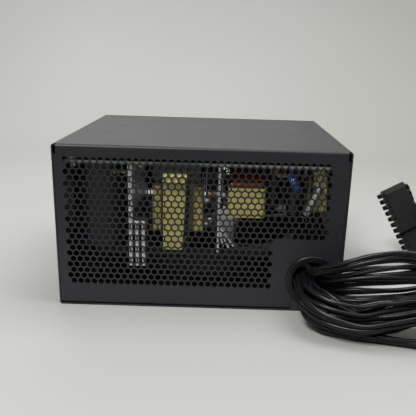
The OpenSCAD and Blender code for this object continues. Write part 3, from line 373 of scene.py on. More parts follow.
# %% Write down the routes
MAIN_ROUTE = mm([
    [54.7, -66, 17.5], [54.7, -80, 17.5], [56, -91, 15.5], [64, -100, 12.5], [78, -104, 11],
    [92, -105, 14.1], [107, -105, 17.2], [130, -104.5, 15], [155, -104, 9], [180, -104, 6],
    [210, -104, 5.6], [240, -104, 5.6], [265, -104, 5.6], [297, -95, 5.6], [320, -72, 5.6],
    [328, -41, 5.6], [320, -10, 5.6], [297, 13, 5.6], [265, 22, 5.6], [240, 23.5, 9.5],
    [220, 24.5, 19], [200, 25, 30], [180, 25, 37], [163, 24.6, 38], [150.3, 23.3, 34.4],
    [141.4, 21.9, 30.1]])
CPU_ROUTE = mm(
    [[62.5, -66, 22.6], [62.5, -77, 23], [65, -85, 24.5], [73, -91, 27.5], [90, -95, 31],
     [110, -97, 33], [130, -95, 26], [150, -93.5, 15]]
    + hank_runs(168.6, 261.6, -78, 15.5, 4.2, 10.4, (1, 1, 0, 0))
    + [[163, -62.5, 4.4]])
GRAPHICS_ROUTE = mm(
    [[64.5, -66, 16], [64.5, -76, 16], [67, -83, 16.6], [74, -88, 17.6], [90, -90.5, 18.8],
     [110, -88, 19.6], [130, -79, 21], [148, -65, 19], [160, -57, 15]]
    + hank_runs(180.6, 273.6, -38, 15.5, 4.2, 10.4, (1, 1, 0, 0))
    + [[173, -22.5, 4.4]])
SATA_ROUTE = mm(
    [[60.7, -66, 11.4], [60, -77, 10.5], [57.5, -85, 9], [57, -92, 6.6], [61.5, -98.5, 4.4],
     [73, -102.5, 2.8], [90, -107, 2.8], [108, -112, 2.8], [130, -119.5, 3.2], [158, -120, 3.6]]
    + hank_runs(165, 245, -132.5, -12.5, 3.6, 8.6, (0, 0, 1, 1))
    + [[160, -145, 8.6]])
DRIVE_ROUTE = mm(
    [[56.6, -66, 25.2], [56.6, -79, 26.5], [60, -88, 29.5], [69, -94, 34], [84, -97, 39.5],
     [101, -99, 42], [122, -104, 38.5], [143, -114, 28], [153, -120, 20.5]]
    + hank_runs(167.5, 242.5, -132.5, -11.5, 13.7, 18.3, (1, 1, 0))
    + [[249, -121, 13.8], [256, -121, 13.2], [262, -121.5, 11]])
for route in (MAIN_ROUTE, CPU_ROUTE, GRAPHICS_ROUTE, SATA_ROUTE, DRIVE_ROUTE):
    print(len(route), "points,", round(distances(smooth_route(route))[-1] / MM), "mm long")

# %% [markdown]
# ## Shader expressions
#
# A material is a graph of nodes, but it reads better as a formula. The class Value
# stands for one output in the graph, and arithmetic on it adds Math nodes. The class
# Finish holds one material and has a single method for every other node. Patterns
# use Object coordinates, in metres, so a grain keeps its size on every piece.


# %% Define Value
class Value:
    """One output of a node. Arithmetic on it adds Math nodes to its material."""

    def __init__(self, finish, socket):
        self.finish = finish
        self.socket = socket

    def math(self, operation, *operands):
        """A Math node with this operation on the operands."""
        return self.finish.node("ShaderNodeMath", {"operation": operation}, dict(enumerate(operands)))

    def __add__(self, other):
        return self.math("ADD", self, other)

    def __rsub__(self, other):
        return self.math("SUBTRACT", other, self)

    def __mul__(self, other):
        return self.math("MULTIPLY", self, other)

    def __truediv__(self, other):
        return self.math("DIVIDE", self, other)

    __radd__ = __add__

    def above(self, edge, softness):
        """0 below edge and 1 above it, with a smooth step of this softness."""
        inputs = {0: self, 1: edge - softness, 2: edge + softness}
        return self.finish.node("ShaderNodeMapRange", {"interpolation_type": "SMOOTHSTEP"}, inputs)


# %% Define Finish
class Finish:
    """One material: its graph, its Principled shader and the point being shaded."""

    def __init__(self, name, colour, roughness, metallic=0.0, **sockets):
        self.material = bpy.data.materials.new(name)
        self.material.use_nodes = True
        self.tree = self.material.node_tree
        self.shader = self.tree.nodes["Principled BSDF"]
        self.material.diffuse_color = (*colour, 1.0)
        self.set(base_color=colour, roughness=roughness, metallic=metallic, **sockets)
        self.place = self.node("ShaderNodeTexCoord", output="Object")

    def node(self, kind, settings=None, inputs=None, output=0):
        """Adds a node: its settings first, then values or links for its inputs."""
        made = self.tree.nodes.new(kind)
        for key, value in (settings or {}).items():
            setattr(made, key, value)
        for key, value in (inputs or {}).items():
            self.plug(made.inputs[key], value)
        return Value(self, made.outputs[output])

    def plug(self, socket, value):
        """Links a Value to the socket, or writes a number, vector or colour on it."""
        if isinstance(value, Value):
            self.tree.links.new(value.socket, socket)
        elif isinstance(value, (tuple, list)) and socket.type == "RGBA" and len(value) == 3:
            socket.default_value = (*value, 1.0)
        else:
            socket.default_value = value

    def set(self, **sockets):
        """Sets or links sockets of the Principled shader by their names in words."""
        for key, value in sockets.items():
            name = key.replace("_", " ").title().replace("Ior", "IOR")
            self.plug(self.shader.inputs[name], value)

    def noise(self, size, detail=2.0, rough=0.5, place=None):
        """Noise from 0 to 1 whose lumps are about size metres across."""
        inputs = {"Vector": place or self.place, "Scale": 1 / size, "Detail": detail, "Roughness": rough}
        return self.node("ShaderNodeTexNoise", None, inputs)

    def cells(self, size):
        """Distance from the middle of Voronoi cells about size metres across."""
        inputs = {"Vector": self.place, "Scale": 1 / size}
        return self.node("ShaderNodeTexVoronoi", None, inputs, "Distance")

    def stretched(self, along, factor):
        """The shaded point with one axis shrunk by factor, so patterns run along it."""
        scale = [1.0, 1.0, 1.0]
        scale["xyz".index(along)] = 1 / factor
        return self.node("ShaderNodeMapping", None, {"Vector": self.place, "Scale": tuple(scale)})

    def axis(self, letter):
        """One coordinate of the shaded point, in metres."""
        return self.node("ShaderNodeSeparateXYZ", None, {0: self.place}, letter.upper())

    def laps(self, pitch):
        """Rises from 0 to 1 over each pitch of height, and starts again."""
        height = self.axis("z") / pitch
        return height.math("FRACT", height)

    def mix(self, share, first, second):
        """The colour first where share is 0 and second where it is 1."""
        settings = {"data_type": "RGBA", "clamp_factor": True}
        return self.node("ShaderNodeMix", settings, {0: share, 6: first, 7: second}, 2)

    def bump(self, height, depth, strength=1.0):
        """Feeds Normal with a height from 0 to 1 that stands for depth metres."""
        inputs = {"Height": height, "Distance": depth, "Strength": strength}
        self.set(normal=self.node("ShaderNodeBump", None, inputs))


# %% [markdown]
# ## Powder-coated steel
#
# The housing is folded steel under a black powder coat. The powder melts into a
# skin with a fine pebbled surface, a little rougher in some places than in others,
# and handling leaves faint dull smears. The bump is shallow: the pebbles are under a
# millimetre wide and a few hundredths high.


# %% Make the coated steel
def coated_steel():
    """A near-black coat mottled by smears and pebbles, paler near the table as painted light."""
    finish = Finish("coated_steel", (0.008, 0.0085, 0.0105), 0.48, specular_ior_level=0.4)
    smear = finish.noise(38 * MM, 3.0, 0.6)
    pebble = finish.noise(0.55 * MM, 2.0, 0.6)
    dark, pale = (0.004, 0.0045, 0.006), (0.008, 0.0085, 0.011)
    coat = finish.mix(smear * 0.7 + pebble * 0.3, dark, pale)
    # Painted light: the coat blends to a paler grey towards the table, standing in for the light on the
    # lower part of the walls.
    low = 1 - finish.axis("z").above(38 * MM, 38 * MM)
    finish.set(base_color=finish.mix(low * 0.8, coat, (0.020, 0.021, 0.024)))
    finish.set(roughness=0.40 + smear * 0.14)
    finish.bump(pebble, 0.03 * MM, 0.6)
    return finish.material


STEEL = coated_steel()
print("made", STEEL.name)

# %% [markdown]
# ## Black plastics
#
# The black plastics lie side by side here and don't look alike. The wire jackets are
# soft vinyl with a narrow sheen, and the bushing is close to them. The connectors are
# nylon, duller and with a faint grain from the mould. The fan has a satin surface,
# the inlet a glossy one, and moulded epoxy and bare ferrite are dull. One function
# writes them all, from their colours, sheen and grain.


# %% Make the plastics
def plastic(name, dark, pale, roughness, grain, depth, sheen=0.5):
    """A moulded plastic: two near colours, a mould grain and dull patches."""
    finish = Finish(name, dark, roughness, specular_ior_level=sheen)
    patch = finish.noise(14 * MM, 2.0)
    mould = finish.noise(grain, 2.0, 0.6)
    finish.set(base_color=finish.mix(patch, dark, pale))
    finish.set(roughness=patch * 0.12 + mould * 0.06 + (roughness - 0.09))
    finish.bump(mould, depth, 0.5)
    return finish.material


JET, SOOT = (0.004, 0.004, 0.005), (0.008, 0.008, 0.009)
VINYL = plastic("wire_vinyl", JET, (0.008, 0.008, 0.010), 0.28, 2.5 * MM, 0.03 * MM, 0.26)
RUBBER = plastic("bushing_rubber", (0.003, 0.003, 0.004), (0.006, 0.006, 0.007), 0.30,
                 0.8 * MM, 0.01 * MM, 0.35)
NYLON = plastic("connector_nylon", JET, SOOT, 0.48, 0.5 * MM, 0.02 * MM, 0.3)
FAN_PLASTIC = plastic("fan_plastic", JET, SOOT, 0.42, 0.6 * MM, 0.015 * MM, 0.3)
GLOSS_PLASTIC = plastic("inlet_plastic", (0.014, 0.014, 0.015), (0.020, 0.020, 0.022), 0.30,
                        0.9 * MM, 0.01 * MM)
BARE_FERRITE = plastic("bare_ferrite", JET, SOOT, 0.6, 0.3 * MM, 0.01 * MM, 0.25)
EPOXY_BLACK = plastic("moulded_epoxy", (0.018, 0.018, 0.019), (0.030, 0.030, 0.031), 0.55,
                      0.25 * MM, 0.012 * MM)
print("made 7 plastics")

# %% [markdown]
# ## Metals
#
# Drawn wire and rolled sheet carry fine lines along one axis, which stretch their
# highlights. Noise that is stretched along this axis gives both the lines and a
# small bump. One function makes every metal from its colour and the axis.


# %% Make the metals
# Painted shade on the primary heat sink starts 10 mm behind its front.
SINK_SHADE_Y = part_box("primary_heatsink")[0][1] + 10 * MM


def shaded(colour, share):
    """The colour with each part multiplied by share."""
    return tuple(part * share for part in colour)


def metal(name, colour, roughness, along, depth=0.01 * MM, painted_shade_from=None):
    """A drawn or rolled metal: fine lines along one axis in its roughness and bump. From
    one depth on it may carry painted shade, so that only its front edge, where the light
    falls, is bright."""
    finish = Finish(name, colour, roughness, 1.0)
    lines = finish.noise(0.5 * MM, 3.0, 0.6, finish.stretched(along, 40))
    cloud = finish.noise(9 * MM, 2.0)
    bright = finish.mix(cloud, shaded(colour, 0.82), colour)
    if painted_shade_from is not None:
        # Painted shade: behind this depth the colour falls to 0.16 of itself, for the shade inside the
        # housing.
        inside = finish.axis("y").above(painted_shade_from, 1.5 * MM)
        bright = finish.mix(inside, bright, shaded(colour, 0.16))
    finish.set(base_color=bright)
    finish.set(roughness=lines * 0.16 + cloud * 0.1 + (roughness - 0.12))
    finish.bump(lines, depth, 0.5)
    return finish.material


ALUMINIUM = metal("rolled_aluminium", (0.90, 0.90, 0.89), 0.36, "y")
SHADED_SINK = metal("shaded_heatsink", (0.92, 0.92, 0.91), 0.36, "y", painted_shade_from=SINK_SHADE_Y)
PLATED_WIRE = metal("plated_wire", (0.62, 0.62, 0.61), 0.28, "x")
BRASS = metal("turned_brass", (0.42, 0.32, 0.16), 0.3, "z")
BRONZE = metal("sintered_bronze", (0.5, 0.38, 0.2), 0.5, "z", 0.03 * MM)
CONTACTS = metal("contact_metal", (0.74, 0.72, 0.68), 0.25, "y")
BLACK_OXIDE = metal("black_oxide", (0.09, 0.09, 0.095), 0.42, "z")
SOLDER = metal("solder", (0.74, 0.74, 0.73), 0.26, "z", 0.02 * MM)
print("made 8 metals")

# %% [markdown]
# ## Stacked iron, tape and copper
#
# Each of these shows how it was made. The stator is a stack of stamped sheets with
# dark gaps between them. Yellow tape is wound round the transformers in laps, and
# each lap ends in a small step. The enamel on the copper is a clear gloss coat. The
# gaps and the steps come from a ramp that starts again at every pitch of height.


# %% Make the stacked iron, tape and copper
def laminated(name, colour, roughness, sheet):
    """Stacked iron sheets: thin dark lines across Z, one sheet apart."""
    finish = Finish(name, colour, roughness, 0.8)
    gap = finish.laps(sheet).above(0.86, 0.06)
    finish.set(base_color=finish.mix(gap, colour, shaded(colour, 0.3)))
    finish.bump(1 - gap, 0.05 * MM)
    return finish.material


# Left of this x the tape carries painted shade.
CORE_LEFT = -21.3 * MM


def tape(name, colour, lap):
    """Polyester tape wound round in laps: a step at each lap, a soft gloss, and the
    copper under it that shows through as slow darker bands. The tape beside the core,
    left of CORE_LEFT, sits deeper and carries painted shade, darker and browner."""
    finish = Finish(name, colour, 0.34, specular_ior_level=0.6)
    under = finish.noise(6 * MM, 3.0, 0.6, finish.stretched("x", 4))
    wound = finish.mix(under.above(0.55, 0.3) * 0.8, colour, shaded(colour, 0.55))
    # Painted shade: left of CORE_LEFT the tape is mixed towards a dark brown.
    shade_beside_core = 1 - finish.axis("x").above(CORE_LEFT, 0.3 * MM)
    finish.set(base_color=finish.mix(shade_beside_core * 0.4, wound, (0.10, 0.08, 0.03)))
    finish.set(roughness=0.28 + under * 0.16)
    finish.bump(finish.laps(lap).above(0.9, 0.06) * 0.7 + under * 0.5, 0.08 * MM)
    return finish.material


def enamelled_copper():
    """Copper wire under clear red enamel: metal with a gloss coat over it."""
    finish = Finish("enamelled_copper", (0.45, 0.10, 0.045), 0.34, 0.7, coat_roughness=0.15)
    wear = finish.noise(3 * MM, 3.0)
    finish.set(base_color=finish.mix(wear, (0.12, 0.015, 0.010), (0.36, 0.07, 0.03)))
    finish.set(coat_weight=wear.above(0.4, 0.3) * 0.6 + 0.2)
    return finish.material


LAMINATION = laminated("stator_iron", (0.26, 0.26, 0.27), 0.5, 0.5 * MM)
YELLOW_TAPE = tape("yellow_tape", (0.78, 0.68, 0.22), 5.2 * MM)
COPPER = enamelled_copper()
print("made", LAMINATION.name, YELLOW_TAPE.name, COPPER.name)

# %% [markdown]
# ## The board and the coated parts
#
# Solder mask is a green lacquer over copper, so tracks show through as a lighter
# green, and bare pads are bright solder. Capacitors wear a shrunk dark sleeve. Most
# small parts are dipped in a coloured resin that pools a little at its edges.


# %% Make the board, sleeve and dips
def solder_mask():
    """Green board: copper tracks as a lighter green under the mask, pads of solder. The
    sawn front edge shows the pale resin between the layers, paler to the right."""
    finish = Finish("solder_mask", (0.03, 0.14, 0.06), 0.36)
    fields = finish.cells(9 * MM).above(0.42, 0.05)
    pads = 1 - finish.cells(4.2 * MM).above(0.13, 0.03)
    green = finish.mix(fields, (0.02, 0.09, 0.04), (0.05, 0.19, 0.085))
    inside = finish.axis("y").above(BOARD_LOW[1] + 0.15 * MM, 0.05 * MM)
    soldered = finish.mix(pads, green, (0.62, 0.62, 0.6))
    to_right = finish.axis("x").above(15 * MM, 60 * MM)
    sawn = finish.mix(to_right, (0.50, 0.58, 0.50), (0.88, 0.90, 0.85))
    finish.set(base_color=finish.mix(inside, sawn, soldered), metallic=pads * inside)
    finish.bump(fields * 0.4 + pads, 0.12 * MM)
    return finish.material


def shrink_sleeve():
    """Capacitor sleeve: dark shrunk film with fine stretch lines round the can."""
    finish = Finish("shrink_sleeve", (0.02, 0.02, 0.026), 0.3)
    lines = finish.noise(1.2 * MM, 2.0, 0.5, finish.stretched("z", 12))
    finish.set(base_color=finish.mix(lines, (0.005, 0.005, 0.008), (0.012, 0.012, 0.017)))
    finish.set(roughness=0.22 + lines * 0.2)
    finish.bump(lines, 0.05 * MM, 0.5)
    return finish.material


def dipped(name, colour, roughness):
    """A dipped or moulded coat: one colour, pooled a little darker, with soft waves."""
    finish = Finish(name, colour, roughness, coat_weight=0.3)
    pool = finish.noise(3.5 * MM, 2.0)
    finish.set(base_color=finish.mix(pool, shaded(colour, 0.6), colour))
    finish.bump(pool, 0.12 * MM, 0.6)
    return finish.material


BOARD = solder_mask()
SLEEVE = shrink_sleeve()
BLUE_DIP = dipped("blue_epoxy", (0.012, 0.085, 0.40), 0.3)
YELLOW_BOX = dipped("yellow_box", (0.66, 0.48, 0.08), 0.4)
FILM = dipped("milky_film", (0.78, 0.78, 0.74), 0.35)
ORANGE_DIP = dipped("orange_epoxy", (0.42, 0.11, 0.03), 0.4)
RESISTOR_COAT = dipped("resistor_coat", (0.42, 0.33, 0.21), 0.45)
BAND_PAINT = dipped("band_paint", (0.16, 0.05, 0.02), 0.45)
GLUE = dipped("white_glue", (0.82, 0.82, 0.80), 0.3)
WHITE_INK = dipped("white_ink", (0.8, 0.8, 0.8), 0.5)
print("made", BOARD.name, SLEEVE.name, "and 8 dips")

# %% [markdown]
# ## Connectors made of separate cells
#
# The power connectors are rows of small sockets. Each socket is a square tube with
# rounded corners that stands free of its neighbours at the open end, and a solid
# block joins them at the back. A superellipse goes from a square to a circle with
# one number, so the same rings make the outside of a socket and its round bore.


# %% Shape the connectors
PITCH = 4.2
BLOCK_BACK = -18
BLOCK_FRONT = -3.4


def ringed(rings, places):
    """Points and faces of one closed shape, given as rings (level, side, 3) that run up
    its outside, copied to every place. The first and last rings are closed flat."""
    levels, sides = rings.shape[:2]
    points = rings.reshape(1, -1, 3) + np.atleast_2d(places)[:, None]
    return points.reshape(-1, 3), stack_faces(len(points), levels, sides)


def super_rings(levels, sides=24):
    """Rings from rows (half width, half depth, power, height): the point at angle a is
    (w cos a, d sin a) / (|cos a|^n + |sin a|^n)^(1/n), which is round for n = 2 and
    close to square for a large n."""
    w, d, n, z = (column[:, None] for column in np.asarray(levels, float).T)
    a = (np.arange(sides) + 0.5) * 2 * np.pi / sides
    size = (np.abs(np.cos(a)) ** n + np.abs(np.sin(a)) ** n) ** (-1 / n)
    return np.stack([w * size * np.cos(a), d * size * np.sin(a), z + 0 * size], axis=-1)


def joined(*parts):
    """Several (points, faces) put into one mesh."""
    starts = np.cumsum([0] + [len(points) for points, _ in parts]).tolist()
    faces = [[start + index for index in face] for start, (_, part) in zip(starts, parts) for face in part]
    return np.concatenate([points for points, _ in parts]), faces


def pad_cells(cells):
    """Cell places as points in the connector's own axes, on its open face."""
    return np.column_stack([cells, np.zeros(len(cells))])


def connector_piece(name, columns, place, angles):
    """Two rows of sockets, the block behind them and the rib under the latch, drawn in
    the connector's own axes with the open ends at z = 0 and then turned into place."""
    wide, deep = columns * PITCH / 2 + 0.6, PITCH + 0.6
    block = super_rings([
        [wide - 0.5, deep - 0.5, 14, BLOCK_BACK], [wide - 0.1, deep - 0.1, 18, BLOCK_BACK + 0.2],
        [wide, deep, 20, BLOCK_BACK + 0.7], [wide, deep, 20, BLOCK_FRONT - 0.5],
        [wide - 0.1, deep - 0.1, 18, BLOCK_FRONT - 0.1], [wide - 0.5, deep - 0.5, 14, BLOCK_FRONT]], 48)
    cell = super_rings([
        [1.55, 1.55, 6, -6.4], [1.55, 1.55, 6, -1.4], [1.47, 1.47, 5, -0.6], [1.3, 1.3, 4, -0.15],
        [1.15, 1.15, 3, 0], [1.0, 1.0, 2, -0.2], [1.0, 1.0, 2, -5.8]])
    rib = super_rings([[4, 0.5, 12, -11.3], [4, 0.5, 12, -9.7]])
    cells = pad_cells(cell_places(columns, 2, PITCH, PITCH))
    rib_place = [0, deep + 0.45, 0]
    points, faces = joined(ringed(block, [0, 0, 0]), ringed(cell, cells), ringed(rib, rib_place))
    points = mm(points) @ turned(angles).T + mm(place)
    piece = new_piece(name + "_sockets", points, faces, "connector_nylon", NYLON, smooth=False)
    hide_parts(name + "_plug")
    return piece


# The middle of each connector's open face in millimetres, and its turn in degrees.
MAIN_PLUG = ([125.4, 19.2, 22.4], (143.4, 57.6, -31.9))
CPU_PLUG = ([131, -62.5, 5], (90, 0, -90))
GRAPHICS_PLUG = ([141, -22.5, 5], (90, 0, -90))
sockets = {"main_plug": connector_piece("main", 12, *MAIN_PLUG),
           "cpu_plug": connector_piece("cpu", 4, *CPU_PLUG),
           "graphics_plug": connector_piece("graphics", 4, *GRAPHICS_PLUG)}
print("shaped", len(sockets), "connectors")

# %% [markdown]
# ## Laying the harnesses
#
# Each harness becomes one mesh of separate tubes along its route, and a second small
# piece that fans its wires into the connector. The harness stands in for the plain
# tube and the plain hank of the CAD model. Its loose share is 1 on the way from the
# bushing to the hank, or to the connector where there is no hank, and 0 elsewhere.


# %% Lay the harnesses
LOOSE_FROM = 12 * MM
EASE = 20 * MM
REACH_SHARE = 1.3
REACH_MORE = 1.7 * MM
CONTACT = mm([[0.95, -6.1], [0.98, -1.6], [0.9, -1.3], [0.72, -1.3], [0.68, -1.8], [0.68, -5.6]])
MAIN_CELLS = cell_places(12, 2, PITCH * MM, PITCH * MM)
SMALL_CELLS = cell_places(4, 2, PITCH * MM, PITCH * MM)
DISK_CELLS = cell_places(5, 1, 4.1 * MM, 0)
DRIVE_CELLS = cell_places(4, 1, 5.08 * MM, 0)


def loose_share(along, loose_to):
    """0 in the bushing, 1 up to the distance loose_to and 0 from there on, with 20 mm
    of easing at both ends."""
    rise = eased(along, LOOSE_FROM, LOOSE_FROM + EASE)
    return rise * (1 - eased(along, loose_to - EASE, loose_to))


def lay_harness(name, route, count, bundle_r, loose_to, seed, connector, extra=()):
    """A loose wire's outside stays within REACH_SHARE bundle_r + REACH_MORE of the
    route. The disk plug's contacts lie inside it, so it gets none here."""
    covers = [node for node in (name + "_harness", name + "_hank") if node in nodes]
    carried = [node for node in (name + "_plug", name + "_latch", *extra) if node in nodes]
    line = smooth_route(route)
    along = distances(line)
    reach = REACH_SHARE * bundle_r + REACH_MORE - WIRE_R
    strands = strand_lines(line, count, bundle_r, loose_share(along, loose_to), reach, seed)
    harness = new_piece(name + "_wires", *sweep_tubes(strands, WIRE_R), "wire_jacket", VINYL)
    place, angles, cells, back = connector
    fan = fan_lines(strands, mm(place), turned(angles), cells, back)
    fanned = new_piece(name + "_wire_ends", *sweep_tubes(fan, WIRE_R), "wire_jacket", VINYL)
    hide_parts(*covers)
    with_pieces = [fanned] + [sockets.get(node, nodes[node]) for node in carried]
    if cells is not DISK_CELLS:
        open_ends = mm(place) + pad_cells(cells) @ turned(angles).T
        contacts = turned_shapes(CONTACT, open_ends, turned(angles), sides=14)
        with_pieces.append(new_piece(name + "_contacts", *contacts, "contact_metal", CONTACTS))
    2 * bundle_r


# Route, wires, bundle radius, loose up to, seed, connector (place, turn, cells, back of
# the block) and what else lies on the cord.
HARNESSES = {
    "main": (MAIN_ROUTE, 24, 6.0 * MM, 490 * MM, 11, (*MAIN_PLUG, MAIN_CELLS, BLOCK_BACK * MM)),
    "cpu": (CPU_ROUTE, 8, 3.6 * MM, 120 * MM, 23, (*CPU_PLUG, SMALL_CELLS, BLOCK_BACK * MM), ["cable_ties"]),
    "graphics": (GRAPHICS_ROUTE, 8, 3.6 * MM, 130 * MM, 31,
                 (*GRAPHICS_PLUG, SMALL_CELLS, BLOCK_BACK * MM)),
    "sata": (SATA_ROUTE, 5, 2.5 * MM, 120 * MM, 47, ([130, -145, 3.6], (90, 0, -90), DISK_CELLS, -16 * MM)),
    "drive": (DRIVE_ROUTE, 4, 2.6 * MM, 130 * MM, 59,
              ([300, -124, 4.4], (90, 0, 90), DRIVE_CELLS, -22 * MM)),
}
for name, harness in HARNESSES.items():
    lay_harness(name, *harness)

# %% [markdown]
# ## Small things on the board
#
# Such a board carries dozens of small parts between the large ones. They are what
# makes the view through the grille look real. Resistors hang under the board on two
# bent leads, and orange discs stand between them on two straight ones.


# %% Hang the small parts
LEAD_R = 0.3 * MM
RESISTOR_HALF = 3.4 * MM
RESISTOR = mm([[0.4, -3.4], [1.15, -3.1], [1.3, -2.6], [1.1, -1.9],
               [1.05, 1.9], [1.3, 2.6], [1.15, 3.1], [0.4, 3.4]])
BAND = mm([[1.02, -0.35], [1.19, -0.33], [1.19, 0.33], [1.02, 0.35]])
RESISTOR_PLACES = mm([[6.5, -63, 61.2], [22, -30, 71], [-43, -60, 71], [-44.5, -46, 71.5], [42, -63.2, 72],
                      [52.8, -58, 71.8], [-62, -30, 72], [-48, -24, 72], [20, 4, 72], [34, -8, 72]])
ALONG_X, ALONG_Y, ASKEW = (0, 90, 0), (0, 90, 90), (0, 84, 0)
RESISTOR_LEANS = [ALONG_X, ASKEW, ALONG_X, ALONG_Y, ALONG_X, ALONG_Y, ALONG_X, ALONG_Y, ALONG_X, ALONG_Y]


def bent_leads(places, axes, reach, drop_to):
    """Leads from both ends of a body: out along its axis, then up to the board with a
    slight lean, because an upright line has no level axis of its own."""
    lines = []
    for side in (-1, 1):
        end = places + side * axes * reach
        knee = end + side * axes * 0.8 * MM
        top = np.column_stack([knee[:, 0], knee[:, 1] + 0.3 * MM, np.full(len(knee), drop_to)])
        root = places + side * axes * (reach - 1 * MM)
        bend = (end + knee) / 2 + [0, 0, 0.1 * MM]
        rise = 0.9 * knee + 0.1 * top
        lines.append(np.stack([root, end, bend, rise, (knee + top) / 2, top], axis=1))
    return np.concatenate(lines)


leans = np.array([turned(angles) for angles in RESISTOR_LEANS])
lean_axes = leans[:, :, 2]
new_piece("resistors", *turned_shapes(RESISTOR, RESISTOR_PLACES, leans), "yellow_box", RESISTOR_COAT)
bands = np.concatenate([RESISTOR_PLACES + lean_axes * at for at in mm([-1.5, -0.4, 0.7])])
band_shapes = turned_shapes(BAND, bands, np.tile(leans, (3, 1, 1)))
new_piece("resistor_bands", *band_shapes, "enamelled_copper", BAND_PAINT)
leads = bent_leads(RESISTOR_PLACES, lean_axes, RESISTOR_HALF, BOARD_LOW[2] + 0.2 * MM)
new_piece("resistor_leads", *sweep_tubes(leads, LEAD_R, 8), "zinc", PLATED_WIRE)

DISC = mm([[0.6, -1.1], [2.2, -1.0], [3.0, -0.45], [3.0, 0.45], [2.2, 1.0], [0.6, 1.1]])
DISC_PLACES = mm([[4.6, -56, 70.6], [-46, -36, 70.6], [41.5, -43, 70.8], [-20, 20, 70.6], [-6, 30, 70.6]])
discs = turned_shapes(DISC, DISC_PLACES, turned((90, 0, 0)), sides=20)
new_piece("small_discs", *discs, "yellow_box", ORANGE_DIP)
leg_ends = [(DISC_PLACES + mm([x, 0, 2]), DISC_PLACES + mm([x, 0.2, 5.6])) for x in (-1.3, 1.3)]
legs = np.concatenate([np.linspace(low, high, 3, axis=1) for low, high in leg_ends])
new_piece("disc_legs", *sweep_tubes(legs, LEAD_R, 8), "zinc", PLATED_WIRE)
print(len(RESISTOR_PLACES), "resistors and", len(DISC_PLACES), "discs")

# %% [markdown]
# ## Solder, glue and a sensor
#
# Each lead ends in a small cone of solder on the board's other side. The cones stand
# on a grid that chance has pulled about, because real leads keep to no grid. Milky
# glue holds the tall parts, in drops that are wider and flatter in one place than in
# another. A sensor sits in one of them, and its two thin wires run up to the board.

# %% Set the solder, glue and sensor
chance = np.random.default_rng(5)
grid = np.stack(np.meshgrid(np.linspace(-66, 66, 15), np.linspace(-61, 55, 12)), axis=-1).reshape(-1, 2)
grid = mm(grid + chance.uniform(-3.2, 3.2, grid.shape))
CONE = mm([[1.35, -0.1], [1.1, 0.25], [0.6, 0.75], [0.35, 1.3]])
joints = np.column_stack([grid, np.full(len(grid), BOARD_HIGH[2])])
new_piece("solder_joints", *turned_shapes(CONE, joints, sides=8), "zinc", SOLDER)

DROP = [[0.25, -0.97], [0.66, -0.75], [0.95, -0.3], [1.0, 0.1], [0.84, 0.55], [0.5, 0.86], [0.2, 0.98]]
GLUE_PLACES = mm([[4.6, -60, 46.6], [2.8, -63.5, 57.9], [37.9, -42.6, 75], [49, -49.8, 75],
                  [-54.5, -35, 75], [12.5, -48, 75], [31, -24.6, 75], [-31, -62, 75],
                  [60.8, -62, 75], [11.3, -63.5, 61.1], [2.6, -60, 44.4]])
GLUE_SIZES = mm([[1.2, 1.0, 1.5], [1.3, 1.0, 1.1], [2.8, 2.2, 1.4], [3.0, 2.2, 1.5], [4.6, 2.6, 1.6],
                 [2.2, 2.0, 1.2], [2.8, 2.2, 1.6], [2.0, 1.5, 1.2], [1.6, 1.4, 1.3], [1.2, 1.0, 1.2],
                 [0.9, 0.8, 0.8]])
new_piece("glue_drops", *turned_shapes(DROP, GLUE_PLACES, scales=GLUE_SIZES, sides=16), "film", GLUE)
SENSOR_ROUTE = mm([[4.6, -60, 47], [4.4, -61, 50], [3.6, -62.4, 54], [2.6, -63.2, 58],
                   [3.4, -62.6, 68], [4.2, -61.6, 76.2]])
sensor_lines = np.stack([smooth_route(SENSOR_ROUTE, 2 * MM) + mm([x, 0, 0]) for x in (0, 0.9)])
new_piece("sensor_wires", *sweep_tubes(sensor_lines, 0.42 * MM, 8), "wire_jacket", VINYL)
print(len(joints), "solder joints,", len(GLUE_PLACES), "drops of glue")

# %% [markdown]
# ## Tape and bare edges of the transformers
#
# The tape round the main transformer's core runs up over its bobbin. Beside it the
# black ferrite and the flanges stay bare, so the yellow is broken up by dark edges.
# Each of these is a thin slab with its own outline. The ends of the wound coil dip in
# front of it as one short bent wire.

# %% Cut tape and edges
def slab(outline, front, thick):
    """A thin slab: an outline of (x, z) points, clockwise from the front, drawn at y =
    front and again behind it."""
    x, z = np.asarray(outline, float).T
    rings = np.stack([np.column_stack([x, 0 * x + y, z]) for y in (front, front + thick)])
    return ringed(mm(rings), [0, 0, 0])


CORE_TAPE = [[-19.6, 68.0], [-19.6, 72.2], [-19.3, 72.5], [-7.8, 72.5], [-7.5, 72.2], [-7.5, 68.0]]
LEFT_EDGE = [[-21.5, 40.2], [-21.2, 64.6], [-19.95, 64.6], [-19.95, 40.2]]
RIGHT_EDGE = [[-9.7, 31.2], [-7.8, 68.2], [-5.9, 68.2], [-6.9, 31.2]]
LEFT_FLANGE = [[56.2, 53.2], [56.2, 73.6], [57.5, 73.6], [58.4, 53.2]]
RIGHT_FLANGE = [[65.6, 53.2], [64.4, 73.6], [67.2, 73.6], [67.2, 53.2]]
new_piece("core_tape", *slab(CORE_TAPE, -68.75, 0.3), "yellow_tape", YELLOW_TAPE, smooth=False)
edges = [slab(LEFT_EDGE, -60.5, 0.45), slab(RIGHT_EDGE, -65.35, 0.3),
         slab(LEFT_FLANGE, -60.45, 0.4), slab(RIGHT_FLANGE, -60.45, 0.4)]
new_piece("bare_edges", *joined(*edges), "moulded_package", BARE_FERRITE, smooth=False)
COIL_ENDS = mm([[20.6, -57.5, 48.6], [22.6, -60, 46], [24.6, -59, 47.3], [26.6, -60, 46],
                [28.6, -57.5, 48.6]])
coil_line = smooth_route(COIL_ENDS, 0.5 * MM)
